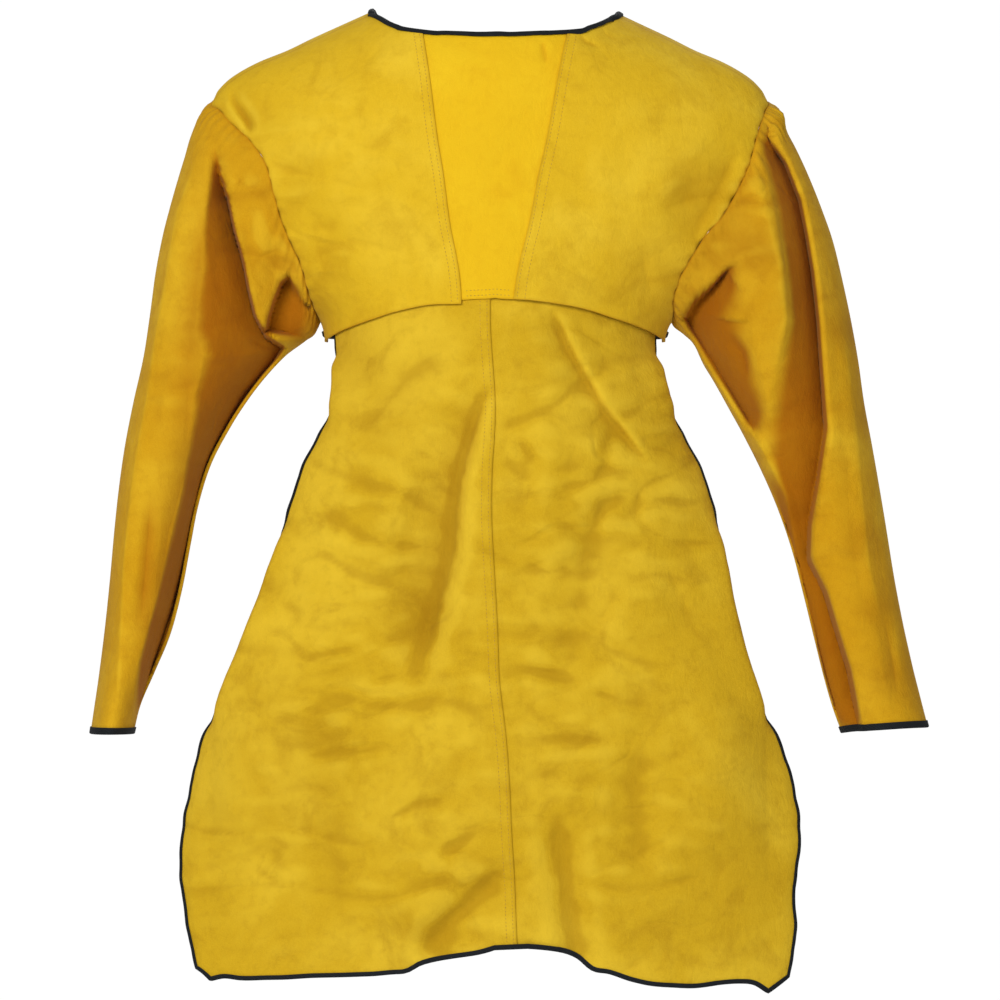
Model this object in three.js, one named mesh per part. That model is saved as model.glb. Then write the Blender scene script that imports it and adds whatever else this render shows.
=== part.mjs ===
// Welding cape with bib: split leather panels, two sleeves and black binding tape.
// Millimetres, +Z up. The front faces -Y and +X is to the right as the front is seen.
// The origin is the middle of the neck opening, at the height where the shoulders carry it.
import * as THREE from 'three';

// Leather and tape
const WALL = 1.6;             // thickness of the split leather
const GAP = 0.4;              // clearance between pieces that lie on each other
const LAP = 12;               // how far one panel lies over the next at a seam
const TAPE_WALL = 1.0;        // thickness of the binding tape
const TAPE_WIDTH = 6;         // how far the tape reaches over the leather on each face
const TAPE_GAP = 0.8;         // clearance inside the folded tape

// Yoke and chest
const SHOULDER_LEFT = 270;    // from the middle to the left shoulder point
const SHOULDER_RIGHT = 260;   // from the middle to the right shoulder point
const SHOULDER_DROP = 84;     // from the neck point down to the shoulder point
const SHOULDER_SEAM = 0.16;   // from the ridge forward to the shoulder seam, in quarter arches
const SHOULDER_ARCH = 120;    // height over which the shoulder rounds from the ridge to the upright chest
const NECK_HALF = 118;        // half the width of the neck opening
const NECK_DROP = 21;         // from the neck point down to the front neckline
const NECK_BACK_DROP = 29;    // from the neck point down to the back neckline
const CHEST_HALF = 166;       // half the width across the chest at the underarms
const UNDERARM_DROP = 291;    // from the neck point down to the underarm
const CHEST_LENGTH = 272;     // from the neck point down to the lower edge of the chest, in the middle
const CHEST_SIDE_DIP = 40;    // how much lower that edge is at the side seams
const CHEST_DEPTH = 112;      // how far the chest stands in front of the middle
const BACK_DEPTH = 100;       // how far the back stands behind the middle
const BACK_LENGTH = 303;      // from the neck point down to the lower edge of the back
const NECK_BEND = 1.9;        // how late the neckline rises toward the shoulder
const BIB_TOP_HALF = 68;      // half the width of the insert at the neckline
const BIB_FOOT_LEFT = 31.5;   // from the middle to the foot of the left chest piece's inner edge
const BIB_FOOT_RIGHT = 17.5;  // from the middle to the foot of the right chest piece's inner edge

// Apron
const FULL_LENGTH = 916;      // from the neck point down to the lowest part of the hem
const HEM_HALF = 280;         // half the width of the hem between its corners

// Sleeves
const SLEEVE_DROP = 600;      // from the shoulder point down to the cuff
const SPREAD_LEFT = 116;      // how far the left cuff stands out past its shoulder point
const SPREAD_RIGHT = 153;     // how far the right cuff stands out past its shoulder point
const INSIDE_LEFT = 176;      // from the left underarm out to the inner side of its cuff
const INSIDE_RIGHT = 162;     // from the right underarm out to the inner side of its cuff
const ARM_DEPTH = 80;         // half the sleeve's front to back depth at its fullest
const ARM_FORWARD = 22;       // how far the cuff swings forward
const VALLEY = 24;            // depth of the deepest fold that runs down a sleeve
const PIT = 15;               // depth of the fold at the armpit
const PIT_AT = 0.84;          // where that fold lies, from the outer to the inner side of a sleeve
const PIT_WIDE = 0.20;        // its half width, as the same share
const RELIEF = 20;            // depth of the deepest fold in the apron

// How finely the panels are divided
const FRONT_RING = 16;        // cells round the front of an armhole
const BACK_RING = 8;          // cells round its back
const SLEEVE_ROWS = 17;
const APRON_COLUMNS = 10;
const APRON_ROWS = 19;

// Height of the shoulder ridge: across is a share of the shoulder width, drop of SHOULDER_DROP.
const RIDGE = [
  { across: 0.00, drop: -0.39 }, { across: 0.25, drop: -0.27 }, { across: 0.44, drop: 0.00 },
  { across: 0.53, drop: 0.13 }, { across: 0.64, drop: 0.29 }, { across: 0.73, drop: 0.43 },
  { across: 0.83, drop: 0.56 }, { across: 0.90, drop: 0.68 }, { across: 0.95, drop: 0.80 },
  { across: 1.00, drop: 1.00 },
];

// The body under the garment: down is a share of FULL_LENGTH below the ridge, half of
// CHEST_HALF, front and middle of CHEST_DEPTH.
const BODY = [
  { down: 0.000, half: 1.72, front: 1.00, middle: 0.00 },
  { down: 0.100, half: 1.64, front: 1.00, middle: 0.00 },
  { down: 0.158, half: 1.58, front: 1.00, middle: 0.00 },
  { down: 0.193, half: 1.46, front: 1.00, middle: 0.00 },
  { down: 0.224, half: 1.31, front: 1.01, middle: 0.00 },
  { down: 0.251, half: 1.18, front: 1.02, middle: 0.00 },
  { down: 0.292, half: 1.00, front: 1.03, middle: 0.00 },
  { down: 0.320, half: 0.965, front: 1.03, middle: -0.01 },
  { down: 0.357, half: 1.03, front: 1.01, middle: -0.05 },
  { down: 0.393, half: 1.13, front: 1.00, middle: -0.09 },
  { down: 0.440, half: 1.30, front: 1.01, middle: -0.11 },
  { down: 0.505, half: 1.47, front: 1.07, middle: -0.11 },
  { down: 0.585, half: 1.66, front: 1.16, middle: -0.08 },
  { down: 0.692, half: 1.93, front: 1.32, middle: 0.02 },
  { down: 0.810, half: 2.19, front: 1.52, middle: 0.14 },
  { down: 1.060, half: 2.40, front: 1.60, middle: 0.17 },
];

// Armhole seams: down is a share of the way from shoulder point to underarm, left and right
// are shares of the way in from the shoulder point to the underarm.
const ARMHOLE = [
  { down: 0.00, left: 0.00, right: 0.00 }, { down: 0.08, left: 0.16, right: 0.07 },
  { down: 0.17, left: 0.35, right: 0.13 }, { down: 0.27, left: 0.49, right: 0.19 },
  { down: 0.36, left: 0.55, right: 0.27 }, { down: 0.48, left: 0.61, right: 0.41 },
  { down: 0.61, left: 0.70, right: 0.64 }, { down: 0.73, left: 0.81, right: 0.81 },
  { down: 0.83, left: 0.87, right: 0.92 }, { down: 0.92, left: 0.93, right: 0.97 },
  { down: 1.00, left: 1.00, right: 1.00 },
];

// Apron sides and centre seam: down is a share of the way from the chest edge to the hem's
// lowest part, left, right and seam are shares of HEM_HALF.
const APRON_EDGES = [
  { down: 0.040, left: -0.555, right: 0.562, seam: -0.016 },
  { down: 0.120, left: -0.550, right: 0.580, seam: -0.004 },
  { down: 0.165, left: -0.562, right: 0.610, seam: 0.000 },
  { down: 0.205, left: -0.605, right: 0.655, seam: -0.003 },
  { down: 0.250, left: -0.655, right: 0.707, seam: -0.010 },
  { down: 0.320, left: -0.710, right: 0.759, seam: -0.012 },
  { down: 0.390, left: -0.765, right: 0.790, seam: -0.004 },
  { down: 0.475, left: -0.835, right: 0.830, seam: 0.007 },
  { down: 0.560, left: -0.912, right: 0.884, seam: 0.015 },
  { down: 0.640, left: -0.985, right: 0.957, seam: 0.036 },
  { down: 0.710, left: -1.030, right: 1.015, seam: 0.048 },
  { down: 0.785, left: -1.060, right: 1.038, seam: 0.056 },
  { down: 0.860, left: -1.064, right: 1.020, seam: 0.066 },
  { down: 0.930, left: -1.040, right: 1.022, seam: 0.072 },
];

// Hem: across is a share of HEM_HALF, rise of HEM_RISE above the lowest part.
const HEM_RISE = 34;
const HEM = [
  { across: -1.012, rise: 0.28 }, { across: -0.975, rise: 0.05 }, { across: -0.855, rise: 0.00 },
  { across: -0.670, rise: 0.06 }, { across: -0.375, rise: 0.18 }, { across: -0.300, rise: 0.24 },
  { across: -0.245, rise: 0.47 }, { across: -0.130, rise: 0.66 }, { across: -0.050, rise: 0.77 },
  { across: 0.075, rise: 0.96 }, { across: 0.200, rise: 0.86 }, { across: 0.275, rise: 0.66 },
  { across: 0.330, rise: 0.30 }, { across: 0.390, rise: 0.20 }, { across: 0.470, rise: -0.02 },
  { across: 0.570, rise: -0.16 }, { across: 0.750, rise: -0.13 }, { across: 0.930, rise: -0.04 },
  { across: 0.998, rise: 0.04 },
];
const HEM_ENDS = { left: -1.012, seam: 0.075, right: 0.998 };
const HEM_CLEAR = { from: 0.03, to: 0.07 };  // the hem's rows this near an end are left out

// Apron folds: a line from one end to the other, ends as shares of HEM_HALF across and
// FULL_LENGTH down, widths to its two sides as shares of HEM_HALF, depth of RELIEF.
const APRON_FOLDS = [
  { across: -0.075, down: 0.460, acrossTo: -0.235, downTo: 0.720,
    left: 0.190, right: 0.060, depth: 0.95 },
  { across: 0.235, down: 0.345, acrossTo: 0.500, downTo: 0.520,
    left: 0.130, right: 0.080, depth: 0.50 },
  { across: -0.190, down: 0.360, acrossTo: -0.480, downTo: 0.500,
    left: 0.120, right: 0.130, depth: 0.45 },
  { across: -0.260, down: 0.990, acrossTo: 0.020, downTo: 0.860,
    left: 0.100, right: 0.090, depth: 0.75 },
  { across: 0.290, down: 1.000, acrossTo: 0.200, downTo: 0.820,
    left: 0.090, right: 0.100, depth: 0.55 },
  { across: -0.720, down: 0.900, acrossTo: -0.640, downTo: 0.640,
    left: 0.150, right: 0.180, depth: -0.55 },
  { across: 0.740, down: 0.930, acrossTo: 0.600, downTo: 0.620,
    left: 0.200, right: 0.150, depth: -0.60 },
];

// Sleeve sections from the armhole to the cuff. out and in are shares of the spread of the
// outer and inner side, outDown and inDown of the way down to the cuff, front and back of
// ARM_DEPTH, swing of ARM_FORWARD. The fold lies at valleyAt, from the outer to the inner
// side, with valley as a share of VALLEY and wide its half width; pit is a share of PIT.
const SLEEVE_LEFT = [
  { out: 0.148, outDown: 0.044, in: 0.020, inDown: 0.030,
    front: 0.85, back: 0.85, swing: 0.00, valleyAt: 0.12, valley: 0.20, wide: 0.18, pit: 0.00 },
  { out: 0.246, outDown: 0.103, in: 0.081, inDown: 0.051,
    front: 0.95, back: 0.92, swing: 0.00, valleyAt: 0.23, valley: 0.60, wide: 0.21, pit: 0.30 },
  { out: 0.328, outDown: 0.158, in: 0.135, inDown: 0.068,
    front: 1.02, back: 0.97, swing: 0.02, valleyAt: 0.36, valley: 0.95, wide: 0.23, pit: 0.70 },
  { out: 0.400, outDown: 0.212, in: 0.189, inDown: 0.088,
    front: 1.02, back: 1.00, swing: 0.06, valleyAt: 0.48, valley: 1.00, wide: 0.25, pit: 0.80 },
  { out: 0.475, outDown: 0.291, in: 0.281, inDown: 0.132,
    front: 0.98, back: 1.00, swing: 0.10, valleyAt: 0.58, valley: 0.85, wide: 0.28, pit: 0.40 },
  { out: 0.533, outDown: 0.381, in: 0.373, inDown: 0.185,
    front: 0.92, back: 0.97, swing: 0.16, valleyAt: 0.66, valley: 0.65, wide: 0.30, pit: 0.10 },
  { out: 0.639, outDown: 0.476, in: 0.476, inDown: 0.256,
    front: 0.86, back: 0.92, swing: 0.25, valleyAt: 0.76, valley: 0.45, wide: 0.30, pit: 0.00 },
  { out: 0.730, outDown: 0.571, in: 0.611, inDown: 0.378,
    front: 0.82, back: 0.88, swing: 0.36, valleyAt: 0.84, valley: 0.25, wide: 0.28, pit: 0.00 },
  { out: 0.787, outDown: 0.666, in: 0.681, inDown: 0.512,
    front: 0.80, back: 0.85, swing: 0.50, valleyAt: 0.86, valley: 0.12, wide: 0.26, pit: 0.00 },
  { out: 0.836, outDown: 0.761, in: 0.741, inDown: 0.654,
    front: 0.80, back: 0.83, swing: 0.64, valleyAt: 0.86, valley: 0.05, wide: 0.26, pit: 0.00 },
  { out: 0.893, outDown: 0.856, in: 0.827, inDown: 0.793,
    front: 0.80, back: 0.82, swing: 0.78, valleyAt: 0.86, valley: 0.00, wide: 0.26, pit: 0.00 },
  { out: 0.951, outDown: 0.935, in: 0.946, inDown: 0.907,
    front: 0.81, back: 0.82, swing: 0.90, valleyAt: 0.86, valley: 0.00, wide: 0.26, pit: 0.00 },
  { out: 1.000, outDown: 1.000, in: 1.000, inDown: 1.000,
    front: 0.82, back: 0.82, swing: 1.00, valleyAt: 0.86, valley: 0.00, wide: 0.26, pit: 0.00 },
];
const SLEEVE_RIGHT = [
  { out: 0.130, outDown: 0.053, in: 0.070, inDown: 0.030,
    front: 0.85, back: 0.85, swing: 0.00, valleyAt: 0.11, valley: 0.25, wide: 0.16, pit: 0.10 },
  { out: 0.224, outDown: 0.100, in: 0.129, inDown: 0.054,
    front: 0.95, back: 0.92, swing: 0.00, valleyAt: 0.14, valley: 0.45, wide: 0.17, pit: 0.50 },
  { out: 0.317, outDown: 0.158, in: 0.159, inDown: 0.079,
    front: 1.02, back: 0.97, swing: 0.02, valleyAt: 0.19, valley: 0.60, wide: 0.19, pit: 0.80 },
  { out: 0.404, outDown: 0.221, in: 0.194, inDown: 0.109,
    front: 1.04, back: 1.00, swing: 0.06, valleyAt: 0.26, valley: 0.70, wide: 0.20, pit: 0.90 },
  { out: 0.478, outDown: 0.301, in: 0.259, inDown: 0.153,
    front: 1.00, back: 1.00, swing: 0.10, valleyAt: 0.33, valley: 0.75, wide: 0.22, pit: 0.60 },
  { out: 0.547, outDown: 0.389, in: 0.324, inDown: 0.202,
    front: 0.94, back: 0.95, swing: 0.16, valleyAt: 0.44, valley: 0.75, wide: 0.24, pit: 0.25 },
  { out: 0.596, outDown: 0.476, in: 0.418, inDown: 0.272,
    front: 0.86, back: 0.88, swing: 0.25, valleyAt: 0.60, valley: 0.60, wide: 0.28, pit: 0.00 },
  { out: 0.665, outDown: 0.572, in: 0.559, inDown: 0.390,
    front: 0.80, back: 0.82, swing: 0.36, valleyAt: 0.72, valley: 0.40, wide: 0.28, pit: 0.00 },
  { out: 0.727, outDown: 0.667, in: 0.682, inDown: 0.519,
    front: 0.74, back: 0.77, swing: 0.50, valleyAt: 0.80, valley: 0.22, wide: 0.26, pit: 0.00 },
  { out: 0.789, outDown: 0.763, in: 0.776, inDown: 0.662,
    front: 0.70, back: 0.72, swing: 0.64, valleyAt: 0.82, valley: 0.10, wide: 0.26, pit: 0.00 },
  { out: 0.863, outDown: 0.858, in: 0.859, inDown: 0.802,
    front: 0.66, back: 0.68, swing: 0.78, valleyAt: 0.82, valley: 0.00, wide: 0.26, pit: 0.00 },
  { out: 0.938, outDown: 0.938, in: 0.929, inDown: 0.914,
    front: 0.63, back: 0.64, swing: 0.90, valleyAt: 0.82, valley: 0.00, wide: 0.26, pit: 0.00 },
  { out: 1.000, outDown: 1.000, in: 1.000, inDown: 1.000,
    front: 0.62, back: 0.62, swing: 1.00, valleyAt: 0.82, valley: 0.00, wide: 0.26, pit: 0.00 },
];

const SIDE_FOOT_SHARE = 0.965; // half width at the foot of the side seams, of the width at the underarms

const QUARTER = Math.PI / 2;
const LAYER = WALL + GAP;     // one panel's place outside the next
const LEVEL = { apronRight: -2, apronLeft: -1, insert: 0, chest: 1, sleeve: 2 };

// A smooth value between the rows of a table, read along one of its columns.
function readTable(rows, along, at, column) {
  let k = 0;
  while (k < rows.length - 2 && rows[k + 1][along] < at) k += 1;
  const a = rows[k];
  const b = rows[k + 1];
  const before = rows[Math.max(k - 1, 0)];
  const after = rows[Math.min(k + 2, rows.length - 1)];
  const span = b[along] - a[along];
  const t = THREE.MathUtils.clamp((at - a[along]) / span, 0, 1);
  const slopeA = (b[column] - before[column]) / (b[along] - before[along]);
  const slopeB = (after[column] - a[column]) / (after[along] - a[along]);
  const t2 = t * t;
  const t3 = t2 * t;
  return (2 * t3 - 3 * t2 + 1) * a[column] + (t3 - 2 * t2 + t) * slopeA * span
    + (3 * t2 - 2 * t3) * b[column] + (t3 - t2) * slopeB * span;
}

// The shoulder ridge, seen from the front.
function ridgeHeight(x) {
  const shoulder = x < 0 ? SHOULDER_LEFT : SHOULDER_RIGHT;
  return -SHOULDER_DROP * readTable(RIDGE, 'across', Math.abs(x) / shoulder, 'drop');
}

// A wrap value counts quarter arches from the ridge: in front above zero, behind below it.
function dropOfWrap(wrap) {
  const turn = Math.abs(wrap);
  if (turn < 1) return SHOULDER_ARCH * (1 - Math.cos(turn * QUARTER));
  return SHOULDER_ARCH * (1 + (turn - 1) * QUARTER);
}

function wrapOfDrop(drop) {
  if (drop < SHOULDER_ARCH) return Math.acos(1 - Math.max(drop, 0) / SHOULDER_ARCH) / QUARTER;
  return 1 + (drop / SHOULDER_ARCH - 1) / QUARTER;
}

// Depth of the apron's folds at a place seen from the front.
function foldRelief(x, z) {
  let relief = 0;
  for (const fold of APRON_FOLDS) {
    const from = new THREE.Vector2(fold.across * HEM_HALF, -fold.down * FULL_LENGTH);
    const line = new THREE.Vector2(fold.acrossTo * HEM_HALF, -fold.downTo * FULL_LENGTH).sub(from);
    const here = new THREE.Vector2(x, z).sub(from);
    const along = here.dot(line) / line.lengthSq();
    const aside = line.cross(here) / line.length() * Math.sign(line.y);
    const width = (aside > 0 ? fold.right : fold.left) * HEM_HALF;
    const end = Math.max(0, 1 - (2 * along - 1) ** 4);
    const across = Math.max(0, 1 - Math.abs(aside) / width);
    relief += RELIEF * fold.depth * (along > 0 && along < 1 ? end : 0) * across * across * (3 - 2 * across);
  }
  return relief;
}

// A point of the body's surface: turn runs from -1 at the left side to 1 at the right side.
function surfacePoint(turn, wrap) {
  const drop = dropOfWrap(wrap);
  const down = drop / FULL_LENGTH;
  const x = CHEST_HALF * readTable(BODY, 'down', down, 'half') * Math.sin(turn * QUARTER);
  const z = ridgeHeight(x) - drop;
  const round = Math.cos(turn * QUARTER) * Math.sin(Math.min(Math.abs(wrap), 1) * QUARTER);
  if (wrap < 0) return new THREE.Vector3(x, BACK_DEPTH * round, z);
  const depth = CHEST_DEPTH * readTable(BODY, 'down', down, 'front');
  const middle = CHEST_DEPTH * readTable(BODY, 'down', down, 'middle');
  return new THREE.Vector3(x, middle - depth * round + foldRelief(x, z), z);
}

function surfaceNormal(turn, wrap) {
  const step = 0.002;
  const across = surfacePoint(turn + step, wrap).sub(surfacePoint(turn - step, wrap));
  const along = surfacePoint(turn, wrap + step).sub(surfacePoint(turn, wrap - step));
  return along.cross(across).normalize();
}

// The body's turn and wrap at a place seen from the front, or from behind.
function placeOn(x, z, behind = false) {
  const drop = ridgeHeight(x) - z;
  const half = CHEST_HALF * readTable(BODY, 'down', Math.max(drop, 0) / FULL_LENGTH, 'half');
  const turn = Math.asin(THREE.MathUtils.clamp(x / half, -1, 1)) / QUARTER;
  const wrap = wrapOfDrop(drop);
  return new THREE.Vector2(turn, behind ? -wrap : wrap);
}

// An edge of a panel: each stretch is a smooth line through its points, cut into its cells.
function edgeLine(...stretches) {
  const points = [];
  for (const [cells, ...through] of stretches) {
    const spaced = new THREE.SplineCurve(through).getSpacedPoints(cells);
    points.push(...(points.length ? spaced.slice(1) : spaced));
  }
  return points;
}

// Places inside four edges, each row from left to right and the rows from top to bottom.
function fillEdges(top, bottom, left, right) {
  const columns = top.length - 1;
  const rows = left.length - 1;
  const corner = (u, v) => [
    [top[0], (1 - u) * (1 - v)], [top[columns], u * (1 - v)],
    [bottom[0], (1 - u) * v], [bottom[columns], u * v],
  ];
  const grid = [];
  for (let j = 0; j <= rows; j += 1) {
    const row = [];
    for (let i = 0; i <= columns; i += 1) {
      const u = i / columns;
      const v = j / rows;
      const place = top[i].clone().multiplyScalar(1 - v).addScaledVector(bottom[i], v);
      place.addScaledVector(left[j], 1 - u).addScaledVector(right[j], u);
      for (const [point, weight] of corner(u, v)) place.addScaledVector(point, -weight);
      row.push(place);
    }
    grid.push(row);
  }
  return grid;
}

// Cuts a face of four corners along its shorter diagonal.
function addQuad(points, index, a, b, c, d) {
  if (points[a].distanceTo(points[c]) < points[b].distanceTo(points[d])) index.push(a, b, c, a, c, d);
  else index.push(a, b, d, b, c, d);
}

// One closed solid between an outer and an inner grid of points.
function shellGeometry(outer, inner, round = false) {
  const rows = outer.length;
  const columns = outer[0].length;
  const points = [...outer.flat(), ...inner.flat()];
  const inside = rows * columns;
  const index = [];
  const at = (j, i) => j * columns + (i % columns);
  const quad = (a, b, c, d) => addQuad(points, index, a, b, c, d);
  const cells = round ? columns : columns - 1;
  for (let j = 0; j < rows - 1; j += 1) {
    for (let i = 0; i < cells; i += 1) {
      const [a, b, c, d] = [at(j, i), at(j, i + 1), at(j + 1, i + 1), at(j + 1, i)];
      quad(a, d, c, b);
      quad(b + inside, c + inside, d + inside, a + inside);
    }
  }
  for (let i = 0; i < cells; i += 1) {
    const last = rows - 1;
    quad(at(0, i), at(0, i + 1), at(0, i + 1) + inside, at(0, i) + inside);
    quad(at(last, i) + inside, at(last, i + 1) + inside, at(last, i + 1), at(last, i));
  }
  for (let j = 0; j < rows - 1 && !round; j += 1) {
    const last = columns - 1;
    quad(at(j, 0), at(j, 0) + inside, at(j + 1, 0) + inside, at(j + 1, 0));
    quad(at(j + 1, last), at(j + 1, last) + inside, at(j, last) + inside, at(j, last));
  }
  return outwardGeometry(points, index);
}

// A geometry whose faces point out of the solid.
function outwardGeometry(points, index) {
  let volume = 0;
  for (let k = 0; k < index.length; k += 3) {
    const [a, b, c] = [points[index[k]], points[index[k + 1]], points[index[k + 2]]];
    volume += a.dot(b.clone().cross(c));
  }
  if (volume < 0) index.reverse();
  const geometry = new THREE.BufferGeometry().setFromPoints(points);
  geometry.setIndex(index);
  geometry.computeVertexNormals();
  return geometry;
}

// A leather panel on the body: its grid of outer points, their normals and its inner points.
function bodyPanel(places, level) {
  const normals = places.map((row) => row.map((p) => surfaceNormal(p.x, p.y)));
  const lift = level * LAYER + WALL;
  const outer = places.map((row, j) => row.map((p, i) => surfacePoint(p.x, p.y)
    .addScaledVector(normals[j][i], lift)));
  return withInside(outer, normals);
}

function withInside(outer, normals) {
  const inner = outer.map((row, j) => row.map((p, i) => p.clone().addScaledVector(normals[j][i], -WALL)));
  return { outer, inner, normals };
}

// The way of a tape along a panel's edge. Each stop has its row and column and the steps that
// lead from the edge into the panel; above and below are the layers that the tape also spans.
function edgeRail(panel, stops, above = 0, below = 0) {
  return stops.map(([row, column, rowStep, columnStep]) => {
    const point = panel.outer[row][column];
    const into = new THREE.Vector3();
    if (rowStep) into.add(panel.outer[row + rowStep][column].clone().sub(point).normalize());
    if (columnStep) into.add(panel.outer[row][column + columnStep].clone().sub(point).normalize());
    return { point, into, normal: panel.normals[row][column], above, below };
  });
}

// Binding tape folded round an edge, with a leg on each face of the leather.
function tapeGeometry(rail, round = false) {
  const corner = (place, out, into) => place.point.clone()
    .addScaledVector(place.normal, out).addScaledVector(place.into, into);
  const rows = rail.map((place) => {
    const face = place.above + TAPE_GAP;
    const back = -(WALL + place.below + TAPE_GAP);
    const edge = -TAPE_GAP;
    return [
      corner(place, face, TAPE_WIDTH), corner(place, face + TAPE_WALL, TAPE_WIDTH),
      corner(place, face + TAPE_WALL, edge - TAPE_WALL), corner(place, back - TAPE_WALL, edge - TAPE_WALL),
      corner(place, back - TAPE_WALL, TAPE_WIDTH), corner(place, back, TAPE_WIDTH),
      corner(place, back, edge), corner(place, face, edge),
    ];
  });
  const sides = rows[0].length;
  const points = rows.flat();
  const index = [];
  const turns = round ? rows.length : rows.length - 1;
  for (let j = 0; j < turns; j += 1) {
    const next = (j + 1) % rows.length;
    for (let i = 0; i < sides; i += 1) {
      const side = (i + 1) % sides;
      const [a, b, c, d] = [j * sides + i, j * sides + side, next * sides + side, next * sides + i];
      addQuad(points, index, a, b, c, d);
    }
  }
  if (!round) {
    const cap = [[0, 1, 2], [0, 2, 7], [7, 2, 3], [7, 3, 6], [6, 3, 5], [5, 3, 4]];
    const end = (rows.length - 1) * sides;
    for (const [a, b, c] of cap) index.push(a, c, b, end + a, end + b, end + c);
  }
  return outwardGeometry(points, index);
}

// Places along a straight line, as seen from the front or from behind.
function straightLine(fromX, fromZ, toX, toZ, points = 5, behind = false) {
  return Array.from({ length: points }, (_, k) => {
    const t = k / (points - 1);
    return placeOn(THREE.MathUtils.lerp(fromX, toX, t), THREE.MathUtils.lerp(fromZ, toZ, t), behind);
  });
}

// The place at a distance from an edge, on the way to the next place of the panel.
function placeInward(edge, next, distance) {
  const length = surfacePoint(edge.x, edge.y).distanceTo(surfacePoint(next.x, next.y));
  return edge.clone().lerp(next, distance / length);
}

// The line on the surface that runs beside an edge, at a distance from it and below it.
function lineBeside(edge, distance) {
  const step = 0.001;
  return edge.map((place, k) => {
    const before = surfacePoint(edge[Math.max(k - 1, 0)].x, edge[Math.max(k - 1, 0)].y);
    const next = edge[Math.min(k + 1, edge.length - 1)];
    const tangent = surfacePoint(next.x, next.y).sub(before);
    const into = surfaceNormal(place.x, place.y).cross(tangent).setLength(distance);
    const here = surfacePoint(place.x, place.y);
    const byTurn = surfacePoint(place.x + step, place.y).sub(here).divideScalar(step);
    const byWrap = surfacePoint(place.x, place.y + step).sub(here).divideScalar(step);
    const [tt, tw, ww] = [byTurn.dot(byTurn), byTurn.dot(byWrap), byWrap.dot(byWrap)];
    const [t, w] = [into.dot(byTurn), into.dot(byWrap)];
    const whole = tt * ww - tw * tw;
    return new THREE.Vector2(place.x + (t * ww - w * tw) / whole, place.y + (w * tt - t * tw) / whole);
  });
}

// Adds a narrow row or column under the binding tape, along the named sides of a panel.
const UNDER_TAPE = TAPE_WIDTH + 2 * TAPE_GAP + 1;
function underTape(grid, ...sides) {
  let places = grid;
  const narrowRow = (row, next) => row.map((place, i) => placeInward(place, next[i], UNDER_TAPE));
  if (sides.includes('top')) places = [places[0], narrowRow(places[0], places[1]), ...places.slice(1)];
  if (sides.includes('foot')) {
    const last = places.length - 1;
    places = [...places.slice(0, last), narrowRow(places[last], places[last - 1]), places[last]];
  }
  if (sides.includes('left')) {
    places = places.map((row) => [row[0], placeInward(row[0], row[1], UNDER_TAPE), ...row.slice(1)]);
  }
  if (sides.includes('right')) {
    places = places.map((row) => [...row.slice(0, -1),
      placeInward(row.at(-1), row.at(-2), UNDER_TAPE), row.at(-1)]);
  }
  return places;
}

// Lines that several panels share

function armholePoint(side, row) {
  const shoulder = side < 0 ? SHOULDER_LEFT : SHOULDER_RIGHT;
  const reach = THREE.MathUtils.lerp(shoulder, CHEST_HALF, side < 0 ? row.left : row.right);
  return [side * reach, THREE.MathUtils.lerp(-SHOULDER_DROP, -UNDERARM_DROP, row.down)];
}

// The front pieces stop this far short of the seams that they share with the back.
function seamShift(turn, wrap, turnShare, wrapShare) {
  const step = 0.01;
  const moved = surfacePoint(turn + turnShare * step, wrap + wrapShare * step);
  return (GAP * step) / moved.distanceTo(surfacePoint(turn, wrap));
}

function shoulderPlace(turn, behind) {
  const shift = behind ? 0 : seamShift(turn, SHOULDER_SEAM, 0, 1);
  return new THREE.Vector2(turn, SHOULDER_SEAM + shift);
}

function sideTurn(side, behind) {
  return behind ? side : side * (1 - seamShift(side, wrapOfDrop(UNDERARM_DROP), -side, 0));
}

// From the shoulder seam over the shoulder point to the underarm, in front or behind.
function armholeLine(side, behind) {
  const shoulder = side < 0 ? SHOULDER_LEFT : SHOULDER_RIGHT;
  const tip = shoulderPlace(placeOn(side * shoulder, -SHOULDER_DROP).x, behind);
  const lower = ARMHOLE.slice(1, -1).map((row) => placeOn(...armholePoint(side, row), behind));
  const underarm = placeOn(side * CHEST_HALF, -UNDERARM_DROP, behind);
  underarm.x = sideTurn(side, behind);
  return [behind ? BACK_RING : FRONT_RING, tip, ...lower, underarm];
}

// The foot of the side seam under each arm, in front or behind.
function sideFoot(side, height, behind) {
  const foot = placeOn(side * CHEST_HALF * SIDE_FOOT_SHARE, height, behind);
  foot.x = sideTurn(side, behind);
  return foot;
}

function sideEdge(side, height, behind) {
  const armhole = armholeLine(side, behind);
  return edgeLine(armhole, [1, armhole.at(-1), sideFoot(side, height, behind)]);
}

// Heights of the chest's foot and of the front neckline
function chestFoot(x) {
  return -(CHEST_LENGTH + CHEST_SIDE_DIP * (x / CHEST_HALF) ** 2);
}

function neckLine(x) {
  const rise = Math.max(0, (Math.abs(x) - BIB_TOP_HALF) / (NECK_HALF - BIB_TOP_HALF));
  return -NECK_DROP * (1 - rise ** NECK_BEND);
}

function neckPoint(side, behind) {
  return shoulderPlace(placeOn(side * NECK_HALF, 0).x, behind);
}

// The inner edge of a chest piece, or the edge of the insert that lies under it.
const CHEST_ROWS = FRONT_RING + 1;
function bibLine(side, shift) {
  const topX = side * (BIB_TOP_HALF + shift);
  const footX = (side < 0 ? -BIB_FOOT_LEFT : BIB_FOOT_RIGHT) + side * shift;
  return edgeLine([CHEST_ROWS, ...straightLine(topX, neckLine(topX), footX, chestFoot(footX))]);
}

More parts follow.
